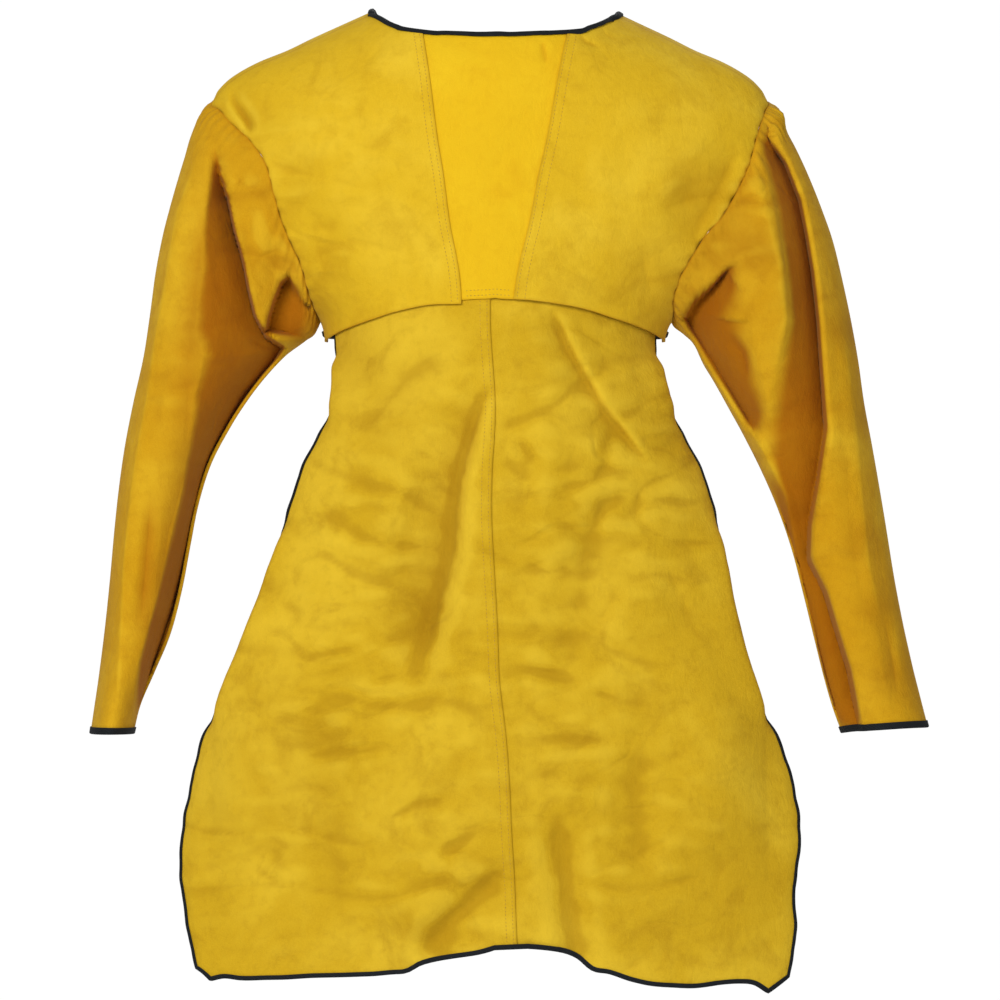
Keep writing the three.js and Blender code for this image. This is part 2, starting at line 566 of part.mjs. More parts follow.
// A chest piece: its inner edge laps over the insert, its foot over the apron.
const NECK_CELLS = 3;
const SHOULDER_CELLS = 6;
function chestPlaces(side) {
  const inner = bibLine(side, 0);
  const lap = bibLine(side, LAP);
  const lapX = side * (BIB_TOP_HALF + LAP);
  const neckX = THREE.MathUtils.lerp(lapX, side * NECK_HALF, 0.5);
  const neck = neckPoint(side, false);
  const top = edgeLine([NECK_CELLS, lap[0], placeOn(neckX, neckLine(neckX)), neck],
    [SHOULDER_CELLS, neck, armholeLine(side, false)[1]]);
  const footX = (side < 0 ? -BIB_FOOT_LEFT : BIB_FOOT_RIGHT) + side * LAP;
  const along = [0.25, 0.5, 0.7, 0.85].map((t) => THREE.MathUtils.lerp(footX, side * CHEST_HALF, t));
  const height = -(CHEST_LENGTH + CHEST_SIDE_DIP);
  const foot = edgeLine([NECK_CELLS + SHOULDER_CELLS, lap.at(-1),
    ...along.map((x) => placeOn(x, chestFoot(x))), sideFoot(side, height, false)]);
  const grid = fillEdges(top, foot, lap, sideEdge(side, height, false));
  return underTape(grid.map((row, j) => [inner[j], ...row]), 'top');
}

// The insert, whose sides lie under the two chest pieces and whose foot lies on the apron.
const INSERT_COLUMNS = 6;
function insertPlaces() {
  const [left, right] = [bibLine(-1, 0), bibLine(1, 0)];
  const across = (fromX, toX, height) => edgeLine([INSERT_COLUMNS, ...[0, 0.25, 0.5, 0.75, 1].map((t) => {
    const x = THREE.MathUtils.lerp(fromX, toX, t);
    return placeOn(x, height(x));
  })]);
  const top = across(-BIB_TOP_HALF, BIB_TOP_HALF, neckLine);
  const foot = across(-BIB_FOOT_LEFT, BIB_FOOT_RIGHT, chestFoot);
  const [hiddenLeft, hiddenRight] = [bibLine(-1, LAP), bibLine(1, LAP)];
  const grid = fillEdges(top, foot, left, right);
  return underTape(grid.map((row, j) => [hiddenLeft[j], ...row, hiddenRight[j]]), 'top');
}

// The back, from one armhole to the other, with the back of the neck opening in its top edge.
const BACK_NECK_CELLS = 14;
function backPlaces() {
  const neck = (share, drop) => placeOn(share * NECK_HALF, -drop * NECK_BACK_DROP, true);
  const shoulder = (side) => armholeLine(side, true)[1];
  const top = edgeLine([SHOULDER_CELLS, shoulder(-1), neckPoint(-1, true)],
    [BACK_NECK_CELLS, neckPoint(-1, true), neck(-0.93, 0.35), neck(-0.6, 0.85), neck(0, 1),
      neck(0.6, 0.85), neck(0.93, 0.35), neckPoint(1, true)],
    [SHOULDER_CELLS, neckPoint(1, true), shoulder(1)]);
  const middles = [-0.75, -0.5, 0, 0.5, 0.75].map((share) => placeOn(share * CHEST_HALF, -BACK_LENGTH, true));
  const foot = edgeLine([top.length - 1, sideFoot(-1, -BACK_LENGTH, true), ...middles,
    sideFoot(1, -BACK_LENGTH, true)]);
  const sides = [sideEdge(-1, -BACK_LENGTH, true), sideEdge(1, -BACK_LENGTH, true)];
  const [left, right] = sides.map((line) => [placeInward(line[0], line[1], UNDER_TAPE), ...line.slice(1)]);
  const beside = lineBeside(top, UNDER_TAPE);
  const grid = fillEdges([left[0], ...beside.slice(1, -1), right[0]], foot, left, right);
  return underTape([top, ...grid], 'foot');
}

// One of the apron's long lines, from under the chest down to the hem.
function hemHeight(x) {
  return -FULL_LENGTH + HEM_RISE * readTable(HEM, 'across', x / HEM_HALF, 'rise');
}

function apronLine(column, shift = 0) {
  const topX = APRON_EDGES[0][column] * HEM_HALF + shift;
  const places = APRON_EDGES.map((row) => placeOn(row[column] * HEM_HALF + shift,
    -THREE.MathUtils.lerp(CHEST_LENGTH, FULL_LENGTH, row.down)));
  const hemX = HEM_ENDS[column] * HEM_HALF + shift;
  const top = placeOn(topX, chestFoot(topX) + LAP);
  return edgeLine([APRON_ROWS, top, ...places, placeOn(hemX, hemHeight(hemX))]);
}

// An apron half. Its top lies under the chest, and the left half laps over the right one.
function apronPlaces(side) {
  const [from, to] = side < 0 ? ['left', 'seam'] : ['seam', 'right'];
  const seam = apronLine('seam');
  const lap = apronLine('seam', -LAP);
  const left = side < 0 ? apronLine('left') : seam;
  const right = side < 0 ? lap : apronLine('right');
  const inside = HEM.filter((row) => row.across > HEM_ENDS[from] + HEM_CLEAR.from
    && row.across < HEM_ENDS[to] - HEM_CLEAR.to);
  const foot = edgeLine([APRON_COLUMNS, left.at(-1),
    ...inside.map((row) => placeOn(row.across * HEM_HALF, hemHeight(row.across * HEM_HALF))), right.at(-1)]);
  const top = edgeLine([APRON_COLUMNS, left[0], ...[0.25, 0.5, 0.75].map((t) => {
    const x = THREE.MathUtils.lerp(APRON_EDGES[0][from], APRON_EDGES[0][to], t) * HEM_HALF;
    return placeOn(x, chestFoot(x) + LAP);
  }), right[0]]);
  const grid = fillEdges(top, foot, left, right);
  const whole = grid.map((row, j) => (side < 0 ? [...row, seam[j]] : [lap[j], ...row]));
  return underTape(whole, side < 0 ? 'left' : 'right', 'foot');
}

// A sleeve: a tube from its armhole to its cuff, with the fold that runs down its front.
function smoothBump(t) {
  const s = Math.max(0, 1 - Math.abs(t));
  return s * s * (3 - 2 * s);
}

function sleeveSection(side, table, at) {
  const read = (column) => readTable(table, 'station', at, column);
  const shoulder = side < 0 ? SHOULDER_LEFT : SHOULDER_RIGHT;
  const spread = side < 0 ? SPREAD_LEFT : SPREAD_RIGHT;
  const inside = side < 0 ? INSIDE_LEFT : INSIDE_RIGHT;
  const cuffDrop = SHOULDER_DROP + SLEEVE_DROP;
  const outerX = shoulder + read('out') * spread;
  const outerZ = -SHOULDER_DROP - read('outDown') * SLEEVE_DROP;
  const innerX = CHEST_HALF + LAYER * LEVEL.sleeve + read('in') * inside;
  const innerZ = THREE.MathUtils.lerp(-UNDERARM_DROP, -cuffDrop, read('inDown'));
  const points = [];
  for (let k = 0; k < FRONT_RING + BACK_RING; k += 1) {
    const front = k < FRONT_RING;
    const angle = Math.PI * (front ? k / FRONT_RING : 1 + (k - FRONT_RING) / BACK_RING);
    const across = (1 - Math.cos(angle)) / 2;
    const half = ARM_DEPTH * read(front ? 'front' : 'back');
    let y = -half * Math.sin(angle) - ARM_FORWARD * read('swing');
    if (front) {
      y += VALLEY * read('valley') * smoothBump((across - read('valleyAt')) / read('wide'));
      y += PIT * read('pit') * smoothBump((across - PIT_AT) / PIT_WIDE);
    }
    points.push(new THREE.Vector3(side * THREE.MathUtils.lerp(outerX, innerX, across), y,
      THREE.MathUtils.lerp(outerZ, innerZ, across)));
  }
  return points;
}

function sleevePanel(side, rows) {
  const ringPlaces = [...edgeLine(armholeLine(side, false)),
    ...edgeLine(armholeLine(side, true)).slice(1, -1).reverse()];
  const table = rows.map((row, k) => ({ ...row, station: (k + 1) / rows.length }));
  const ringNormals = ringPlaces.map((p) => surfaceNormal(p.x, p.y));
  const ring = ringPlaces.map((p, k) => surfacePoint(p.x, p.y)
    .addScaledVector(ringNormals[k], LEVEL.sleeve * LAYER + WALL));
  const outer = [ring];
  const first = 1 / rows.length;
  for (let j = 0; j < SLEEVE_ROWS; j += 1) {
    outer.push(sleeveSection(side, table, THREE.MathUtils.lerp(first, 1, j / (SLEEVE_ROWS - 1))));
  }
  const count = ring.length;
  const normals = outer.map((row, j) => row.map((p, i) => {
    if (j === 0) return ringNormals[i];
    const along = outer[Math.min(j + 1, SLEEVE_ROWS)][i].clone().sub(outer[j - 1][i]);
    const across = row[(i + 1) % count].clone().sub(row[(i + count - 1) % count]);
    return along.cross(across).multiplyScalar(-side).normalize();
  }));
  return withInside(outer, normals);
}

// The finishes
const hide = { roughness: 0.92, metalness: 0 };
const LEATHER = new THREE.MeshStandardMaterial({ name: 'split_leather', color: '#dba91f', ...hide });
const TAPE = new THREE.MeshStandardMaterial({ name: 'black_tape', color: '#0f1416', ...hide });

const garment = new THREE.Group();
function addPiece(name, geometry, material) {
  const mesh = new THREE.Mesh(geometry, material.clone());
  mesh.name = name;
  garment.add(mesh);
}
function addPanel(name, panel, round = false) {
  addPiece(name, shellGeometry(panel.outer, panel.inner, round), LEATHER);
}

const chestLeft = bodyPanel(chestPlaces(-1), LEVEL.chest);
const chestRight = bodyPanel(chestPlaces(1), LEVEL.chest);
const insert = bodyPanel(insertPlaces(), LEVEL.insert);
const back = bodyPanel(backPlaces(), LEVEL.chest);
const apronLeft = bodyPanel(apronPlaces(-1), LEVEL.apronLeft);
const apronRight = bodyPanel(apronPlaces(1), LEVEL.apronRight);
const sleeveLeft = sleevePanel(-1, SLEEVE_LEFT);
const sleeveRight = sleevePanel(1, SLEEVE_RIGHT);

addPanel('chest_panel_left', chestLeft);
addPanel('chest_panel_right', chestRight);
addPanel('chest_centre', insert);
addPanel('back_yoke', back);
addPanel('apron_left', apronLeft);
addPanel('apron_right', apronRight);
addPanel('sleeve_left', sleeveLeft, true);
addPanel('sleeve_right', sleeveRight, true);

// Binding tape, each along the edge of the panels that it holds
const range = (from, to) => Array.from({ length: Math.abs(to - from) + 1 },
  (_, k) => from + k * Math.sign(to - from || 1));
const lastRow = (panel) => panel.outer.length - 1;
const lastColumn = (panel) => panel.outer[0].length - 1;

const cuffRail = (panel) => edgeRail(panel, range(0, lastColumn(panel)).map((k) => [lastRow(panel), k, -1, 0]));
addPiece('cuff_binding_left', tapeGeometry(cuffRail(sleeveLeft), true), TAPE);
addPiece('cuff_binding_right', tapeGeometry(cuffRail(sleeveRight), true), TAPE);

const backFoot = range(0, lastColumn(back)).map((k) => [lastRow(back), k, -1, 0]);
addPiece('back_binding', tapeGeometry(edgeRail(back, backFoot)), TAPE);

const [hemRow, seamColumn, sideColumn] = [lastRow(apronLeft), lastColumn(apronLeft), lastColumn(apronRight)];
addPiece('apron_binding', tapeGeometry([
  ...edgeRail(apronLeft, range(1, hemRow - 1).map((k) => [k, 0, 0, 1]), 0, LAYER),
  ...edgeRail(apronLeft, [[hemRow, 0, -1, 1]], 0, LAYER),
  ...edgeRail(apronLeft, range(1, seamColumn).map((k) => [hemRow, k, -1, 0]), 0, LAYER),
  ...edgeRail(apronRight, range(2, sideColumn - 1).map((k) => [hemRow, k, -1, 0]), LAYER, 0),
  ...edgeRail(apronRight, [[hemRow, sideColumn, -1, -1]], LAYER, 0),
  ...edgeRail(apronRight, range(hemRow - 1, 1).map((k) => [k, sideColumn, 0, -1]), LAYER, 0),
]), TAPE);

const backNeck = range(SHOULDER_CELLS + BACK_NECK_CELLS - 1, SHOULDER_CELLS + 1).map((k) => [0, k, 1, 0]);
addPiece('neck_binding', tapeGeometry([
  ...edgeRail(chestLeft, [[0, NECK_CELLS + 1, 0, 1]], 0, LAYER),
  ...edgeRail(chestLeft, range(NECK_CELLS, 0).map((k) => [0, k, 1, 0]), 0, LAYER),
  ...edgeRail(insert, range(2, lastColumn(insert) - 2).map((k) => [0, k, 1, 0]), LAYER, 0),
  ...edgeRail(chestRight, range(0, NECK_CELLS).map((k) => [0, k, 1, 0]), 0, LAYER),
  ...edgeRail(chestRight, [[0, NECK_CELLS + 1, 0, 1]], 0, LAYER),
  ...edgeRail(back, backNeck, 0, LAYER),
], true), TAPE);

export default garment;
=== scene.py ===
"""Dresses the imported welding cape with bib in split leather, binding tape and stitching.

Shapes are worked out in millimetres and written to the meshes in metres. The front faces -Y
and +X is to the right as the front is seen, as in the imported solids.
"""

import logging
import math
from collections.abc import Callable, Sequence
from dataclasses import dataclass, field
from enum import Enum

import bmesh
import bpy
import numpy as np
from mathutils import Matrix, Vector, noise

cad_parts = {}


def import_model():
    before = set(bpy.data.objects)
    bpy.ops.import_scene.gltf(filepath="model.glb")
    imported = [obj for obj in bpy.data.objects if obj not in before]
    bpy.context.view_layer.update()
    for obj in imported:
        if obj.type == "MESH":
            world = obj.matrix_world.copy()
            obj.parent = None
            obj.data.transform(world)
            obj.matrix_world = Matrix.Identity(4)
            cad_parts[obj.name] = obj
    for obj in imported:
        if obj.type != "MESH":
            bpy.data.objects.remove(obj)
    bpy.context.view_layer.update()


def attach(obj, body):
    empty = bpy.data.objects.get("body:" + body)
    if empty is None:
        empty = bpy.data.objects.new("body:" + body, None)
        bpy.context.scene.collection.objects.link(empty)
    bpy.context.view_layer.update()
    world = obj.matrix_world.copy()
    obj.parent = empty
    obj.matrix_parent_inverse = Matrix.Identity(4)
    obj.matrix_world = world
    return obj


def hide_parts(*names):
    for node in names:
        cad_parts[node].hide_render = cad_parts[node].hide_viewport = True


Array = np.ndarray
Places = tuple[tuple[float, float], ...]
Reach = float | tuple[float, ...]
LOG = logging.getLogger("cape")
MM = 0.001
QUARTER = math.pi / 2


class Side(Enum):
    """The two sides of the garment, as its front is seen."""

    LEFT = -1
    RIGHT = 1


class Edge(Enum):
    """The four edges of a panel's grid of points."""

    TOP = "top"
    FOOT = "foot"
    LEFT = "left"
    RIGHT = "right"


class Table:
    """A short table with named columns, read smoothly between its rows."""

    def __init__(self, columns: str, *rows: tuple[float, ...]) -> None:
        """Keeps the rows under their columns' names.

        Args:
            columns: the columns' names, with spaces between them.
            rows: the table's rows.
        """
        self.columns = {name: np.array([row[k] for row in rows]) for k, name in enumerate(columns.split())}

    def read(self, along: str, at: Array, column: str) -> Array:
        """Reads a column at places along another one.

        Args:
            along: the column that rises from row to row.
            at: the places along it.
            column: the column to read.

        Returns:
            The smooth values at those places.
        """
        keys, values = self.columns[along], self.columns[column]
        last = len(keys) - 1
        k = np.clip(np.searchsorted(keys, at, side="left") - 1, 0, last - 1)
        before, after = np.maximum(k - 1, 0), np.minimum(k + 2, last)
        span = keys[k + 1] - keys[k]
        t = np.clip((at - keys[k]) / span, 0, 1)
        slope_a = (values[k + 1] - values[before]) / (keys[k + 1] - keys[before])
        slope_b = (values[after] - values[k]) / (keys[after] - keys[k])
        t2, t3 = t * t, t * t * t
        start = (2 * t3 - 3 * t2 + 1) * values[k] + (t3 - 2 * t2 + t) * slope_a * span
        return start + (3 * t2 - 2 * t3) * values[k + 1] + (t3 - t2) * slope_b * span


@dataclass(frozen=True)
class Cut:
    """The garment's sizes in millimetres, as in the solids."""

    wall: float = 1.6
    gap: float = 0.4
    lap: float = 12.0
    shoulder_left: float = 270.0
    shoulder_right: float = 260.0
    shoulder_drop: float = 84.0
    shoulder_seam: float = 0.16
    shoulder_arch: float = 120.0
    neck_half: float = 118.0
    neck_drop: float = 21.0
    neck_back_drop: float = 29.0
    neck_bend: float = 1.9
    chest_half: float = 166.0
    underarm_drop: float = 291.0
    chest_length: float = 272.0
    chest_side_dip: float = 40.0
    chest_depth: float = 112.0
    back_depth: float = 100.0
    back_length: float = 303.0
    bib_top_half: float = 68.0
    bib_foot_left: float = 31.5
    bib_foot_right: float = 17.5
    full_length: float = 916.0
    hem_half: float = 280.0
    hem_rise: float = 34.0
    sleeve_drop: float = 600.0
    spread_left: float = 116.0
    spread_right: float = 153.0
    inside_left: float = 176.0
    inside_right: float = 162.0
    arm_depth: float = 80.0
    arm_forward: float = 22.0
    side_foot_share: float = 0.965
    front_ring: int = 16
    back_ring: int = 8
    finer: int = 9

    @property
    def layer(self) -> float:
        """One panel's place outside the next."""
        return self.wall + self.gap

    def bib_foot(self, side: Side) -> float:
        """Where the inner edge of a side's chest piece ends."""
        return -self.bib_foot_left if side is Side.LEFT else self.bib_foot_right

    def shoulder(self, side: Side) -> float:
        """From the middle to a side's shoulder point."""
        return self.shoulder_left if side is Side.LEFT else self.shoulder_right


CUT = Cut()

RIDGE = Table("across drop", (0.00, -0.39), (0.25, -0.27), (0.44, 0.00), (0.53, 0.13), (0.64, 0.29),
              (0.73, 0.43), (0.83, 0.56), (0.90, 0.68), (0.95, 0.80), (1.00, 1.00))

BODY = Table("down half front middle",
             (0.000, 1.72, 1.00, 0.00), (0.100, 1.64, 1.00, 0.00), (0.158, 1.58, 1.00, 0.00),
             (0.193, 1.46, 1.00, 0.00), (0.224, 1.31, 1.01, 0.00), (0.251, 1.18, 1.02, 0.00),
             (0.292, 1.00, 1.03, 0.00), (0.320, 0.965, 1.03, -0.01), (0.357, 1.03, 1.01, -0.05),
             (0.393, 1.13, 1.00, -0.09), (0.440, 1.30, 1.01, -0.11), (0.505, 1.47, 1.07, -0.11),
             (0.585, 1.66, 1.16, -0.08), (0.692, 1.93, 1.32, 0.02), (0.810, 2.19, 1.52, 0.14),
             (1.060, 2.40, 1.60, 0.17))

ARMHOLE = Table("down left right",
                (0.00, 0.00, 0.00), (0.08, 0.16, 0.07), (0.17, 0.35, 0.13), (0.27, 0.49, 0.19),
                (0.36, 0.55, 0.27), (0.48, 0.61, 0.41), (0.61, 0.70, 0.64), (0.73, 0.81, 0.81),
                (0.83, 0.87, 0.92), (0.92, 0.93, 0.97), (1.00, 1.00, 1.00))

APRON_EDGES = Table("down left right seam",
                    (0.040, -0.555, 0.562, -0.016), (0.120, -0.550, 0.580, -0.004),
                    (0.165, -0.562, 0.610, 0.000), (0.205, -0.605, 0.655, -0.003),
                    (0.250, -0.655, 0.707, -0.010), (0.320, -0.710, 0.759, -0.012),
                    (0.390, -0.765, 0.790, -0.004), (0.475, -0.835, 0.830, 0.007),
                    (0.560, -0.912, 0.884, 0.015), (0.640, -0.985, 0.957, 0.036),
                    (0.710, -1.030, 1.015, 0.048), (0.785, -1.060, 1.038, 0.056),
                    (0.860, -1.064, 1.020, 0.066), (0.930, -1.040, 1.022, 0.072))

HEM = Table("across rise",
            (-1.012, 0.28), (-0.975, 0.05), (-0.855, 0.00), (-0.670, 0.06), (-0.375, 0.18),
            (-0.300, 0.24), (-0.245, 0.47), (-0.130, 0.66), (-0.050, 0.77), (0.075, 0.96),
            (0.200, 0.86), (0.275, 0.66), (0.330, 0.30), (0.390, 0.20), (0.470, -0.02),
            (0.570, -0.16), (0.750, -0.13), (0.930, -0.04), (0.998, 0.04))
HEM_ENDS = {"left": -1.012, "seam": 0.075, "right": 0.998}

SLEEVES = {
    Side.LEFT: Table("out outDown in inDown front back swing",
                     (0.148, 0.044, 0.020, 0.030, 0.85, 0.85, 0.00), (0.246, 0.103, 0.081, 0.051, 0.95, 0.92, 0.00),
                     (0.328, 0.158, 0.135, 0.068, 1.02, 0.97, 0.02), (0.400, 0.212, 0.189, 0.088, 1.02, 1.00, 0.06),
                     (0.475, 0.291, 0.281, 0.132, 0.98, 1.00, 0.10), (0.533, 0.381, 0.373, 0.185, 0.92, 0.97, 0.16),
                     (0.639, 0.476, 0.476, 0.256, 0.86, 0.92, 0.25), (0.730, 0.571, 0.611, 0.378, 0.82, 0.88, 0.36),
                     (0.787, 0.666, 0.681, 0.512, 0.80, 0.85, 0.50), (0.836, 0.761, 0.741, 0.654, 0.80, 0.83, 0.64),
                     (0.893, 0.856, 0.827, 0.793, 0.80, 0.82, 0.78), (0.951, 0.935, 0.946, 0.907, 0.81, 0.82, 0.90),
                     (1.000, 1.000, 1.000, 1.000, 0.82, 0.82, 1.00)),
    Side.RIGHT: Table("out outDown in inDown front back swing",
                      (0.130, 0.053, 0.070, 0.030, 0.85, 0.85, 0.00), (0.224, 0.100, 0.129, 0.054, 0.95, 0.92, 0.00),
                      (0.317, 0.158, 0.159, 0.079, 1.02, 0.97, 0.02), (0.404, 0.221, 0.194, 0.109, 1.04, 1.00, 0.06),
                      (0.478, 0.301, 0.259, 0.153, 1.00, 1.00, 0.10), (0.547, 0.389, 0.324, 0.202, 0.94, 0.95, 0.16),
                      (0.596, 0.476, 0.418, 0.272, 0.86, 0.88, 0.25), (0.665, 0.572, 0.559, 0.390, 0.80, 0.82, 0.36),
                      (0.727, 0.667, 0.682, 0.519, 0.74, 0.77, 0.50), (0.789, 0.763, 0.776, 0.662, 0.70, 0.72, 0.64),
                      (0.863, 0.858, 0.859, 0.802, 0.66, 0.68, 0.78), (0.938, 0.938, 0.929, 0.914, 0.63, 0.64, 0.90),
                      (1.000, 1.000, 1.000, 1.000, 0.62, 0.62, 1.00)),
}


def smooth(t: Array) -> Array:
    """A smooth step from 0 to 1."""
    t = np.clip(t, 0, 1)
    return t * t * (3 - 2 * t)


@dataclass(frozen=True)
class Fold:
    """A fold seen from the front, deepest on its line, which is listed from top to bottom.

    The reaches to its left and right are one number, or one for each point of the line. A
    level line is listed from left to right, and its left side is the lower one.
    """

    line: Places
    left: Reach
    right: Reach
    depth: float
    crisp: float = 1.0
    fade: float = 0.25
    flat: float = 0.0
    # Share of the fold's depth that the finish turns into painted shade.
    painted_shade: float = 1.0

    def depth_at(self, x: Array, z: Array) -> Array:
        """How far the fold presses the leather in.

        Args:
            x: places across, seen from the front.
            z: their heights.

        Returns:
            The depth at each place.
        """
        points = np.array(self.line)
        lengths = np.hypot(*np.diff(points, axis=0).T)
        starts = np.concatenate([[0.0], np.cumsum(lengths)])
        nearest = np.full(x.shape, np.inf)
        aside, along = np.zeros(x.shape), np.zeros(x.shape)
        for k, length in enumerate(lengths):
            (ax, az), (dx, dz) = points[k], points[k + 1] - points[k]
            t = np.clip(((x - ax) * dx + (z - az) * dz) / length**2, 0, 1)
            ex, ez = x - ax - t * dx, z - az - t * dz
            distance = np.hypot(ex, ez)
            closer = distance < nearest
            nearest = np.where(closer, distance, nearest)
            aside = np.where(closer, dx * ez - dz * ex, aside)
            along = np.where(closer, (starts[k] + t * length) / starts[-1], along)
        width = np.where(aside > 0, self._reach(self.right, along, starts), self._reach(self.left, along, starts))
        share = np.clip(1 - nearest / width, 0, 1)
        curved = self.crisp * share**2 + (1 - self.crisp) * smooth(share)
        profile = self.flat * share + (1 - self.flat) * curved
        return self.depth * profile * smooth(np.minimum(along, 1 - along) / self.fade)

    def _reach(self, reach: Reach, along: Array, starts: Array) -> Reach | Array:
        """A reach at shares along the line."""
        return np.interp(along, starts / starts[-1], reach) if isinstance(reach, tuple) else reach


def crease(line: Places, left: float, right: float, depth: float) -> Fold:
    """A short crease with a soft start and end, which gets no painted shade."""
    return Fold(line, left, right, depth, crisp=0.9, fade=0.45, painted_shade=0.0)


APRON_FOLDS = (
    Fold(((3, -349), (-14, -370), (-25, -406), (-36, -444), (-42, -508), (-56, -560), (-67, -596), (-86, -643)),
         (30, 40, 52, 70, 80, 80, 70, 50), (8, 10, 12, 14, 16, 18, 20, 22), 18.0, 0.6, 0.2, 0.0, 0.95),
    Fold(((-41, -311), (-85, -350), (-117, -390), (-142, -417)), 30, 34, 7.0, 0.3),
    crease(((-187, -706), (-142, -700), (-94, -697)), 16, 9, 4.0),
    crease(((-185, -613), (-157, -607), (-123, -601)), 14, 8, 3.1),
    crease(((-126, -637), (-75, -625)), 12, 8, 2.9),
    crease(((-228, -814), (-197, -825)), 12, 8, 2.4),
    Fold(((16, -803), (-7, -827), (-36, -853), (-55, -875), (-75, -902)), 26, 46, 12.0, 0.8, 0.25, 0.0, 0.8),
    crease(((-14, -774), (-56, -803)), 14, 10, 4.8),
    Fold(((50, -276), (70, -320), (88, -354), (107, -384), (121, -400), (128, -409), (149, -432)),
         (26, 34, 42, 40, 34, 26, 20), (6, 8, 9, 9, 8, 8, 8), 10.0, 0.9, 0.2),
    crease(((18, -402), (41, -428)), 12, 9, 4.2),
    crease(((130, -457), (104, -469), (96, -484), (83, -505)), 18, 16, 6.0),
    crease(((142, -460), (172, -463), (200, -466)), 16, 9, 4.2),
    crease(((12, -618), (43, -624), (65, -629), (83, -641)), 16, 9, 4.0),
    crease(((88, -642), (121, -652)), 10, 7, 2.6),
    crease(((12, -686), (62, -688), (126, -689)), 18, 10, 3.5),
    Fold(((56, -748), (67, -824), (83, -921)), 26, 30, 10.0, 0.4),
    Fold(((104, -477), (81, -558), (64, -653)), 40, 52, 6.0, 0.2),
    Fold(((-227, -596), (-240, -710), (-250, -824)), 70, 80, -13.0, 0.0, 0.45),
    Fold(((185, -567), (216, -691), (206, -843)), 80, 60, -13.0, 0.0, 0.45),
    Fold(((-136, -719), (-151, -795), (-145, -881)), 44, 40, 6.0, 0.1, 0.4),
    Fold(((138, -672), (130, -748), (147, -843)), 36, 30, 5.0, 0.2, 0.4),
    Fold(((-81, -387), (-92, -463), (-117, -548)), 34, 24, -5.0, 0.1, 0.4),
    Fold(((41, -349), (50, -434), (43, -520)), 24, 24, -3.5, 0.1, 0.4),
    Fold(((157, -520), (195, -596)), 26, 20, 4.0, 0.3, 0.4),
    Fold(((-185, -463), (-199, -520), (-221, -577)), 20, 26, 4.0, 0.3, 0.4),
    Fold(((-105, -767), (-71, -748), (-41, -744)), 12, 9, 2.2),
    Fold(((24, -520), (50, -531), (75, -525)), 12, 9, 2.0),
    Fold(((-132, -653), (-166, -664), (-193, -658)), 10, 8, 1.6),
)

CHEST_FOLDS = (
    Fold(((-254, -62), (-249, -84), (-237, -101), (-230, -117)), 7, 13, 7.0, 1.0, 0.25, 0.0, 3.0),
    Fold(((-189, -109), (-197, -140), (-185, -174)), 26, 26, 4.0, 0.1, 0.45),
    Fold(((-145, -178), (-159, -212), (-161, -254)), 26, 20, 3.4, 0.2, 0.4),
    Fold(((-174, -191), (-168, -225), (-157, -265)), 12, 16, 2.6, 0.6, 0.4),
    Fold(((237, -113), (218, -155), (195, -199), (180, -237)), 44, 18, 8.0, 0.3, 0.35),
    Fold(((185, -130), (187, -164), (172, -202)), 26, 22, 3.6, 0.1, 0.45),
    Fold(((138, -216), (143, -250), (155, -284)), 18, 14, 2.6, 0.4, 0.4),
    Fold(((44, -22), (46, -35), (49, -54)), 7, 7, 2.6, 0.8, 0.4, 0.0, 5.0),
    Fold(((75, -16), (86, -28), (105, -35)), 8, 6, 2.4, 0.8, 0.4, 0.0, 5.0),
    Fold(((96, -7), (105, -20), (121, -29)), 6, 6, 2.0, 0.8, 0.4, 0.0, 5.0),
    Fold(((-98, -16), (-111, -37), (-132, -56)), 10, 10, 1.8, 0.4, 0.45),
    Fold(((-117, -92), (-128, -140), (-121, -187)), 24, 24, -2.6, 0.0, 0.45),
    Fold(((105, -102), (100, -159), (111, -216)), 26, 24, -2.6, 0.0, 0.45),
)

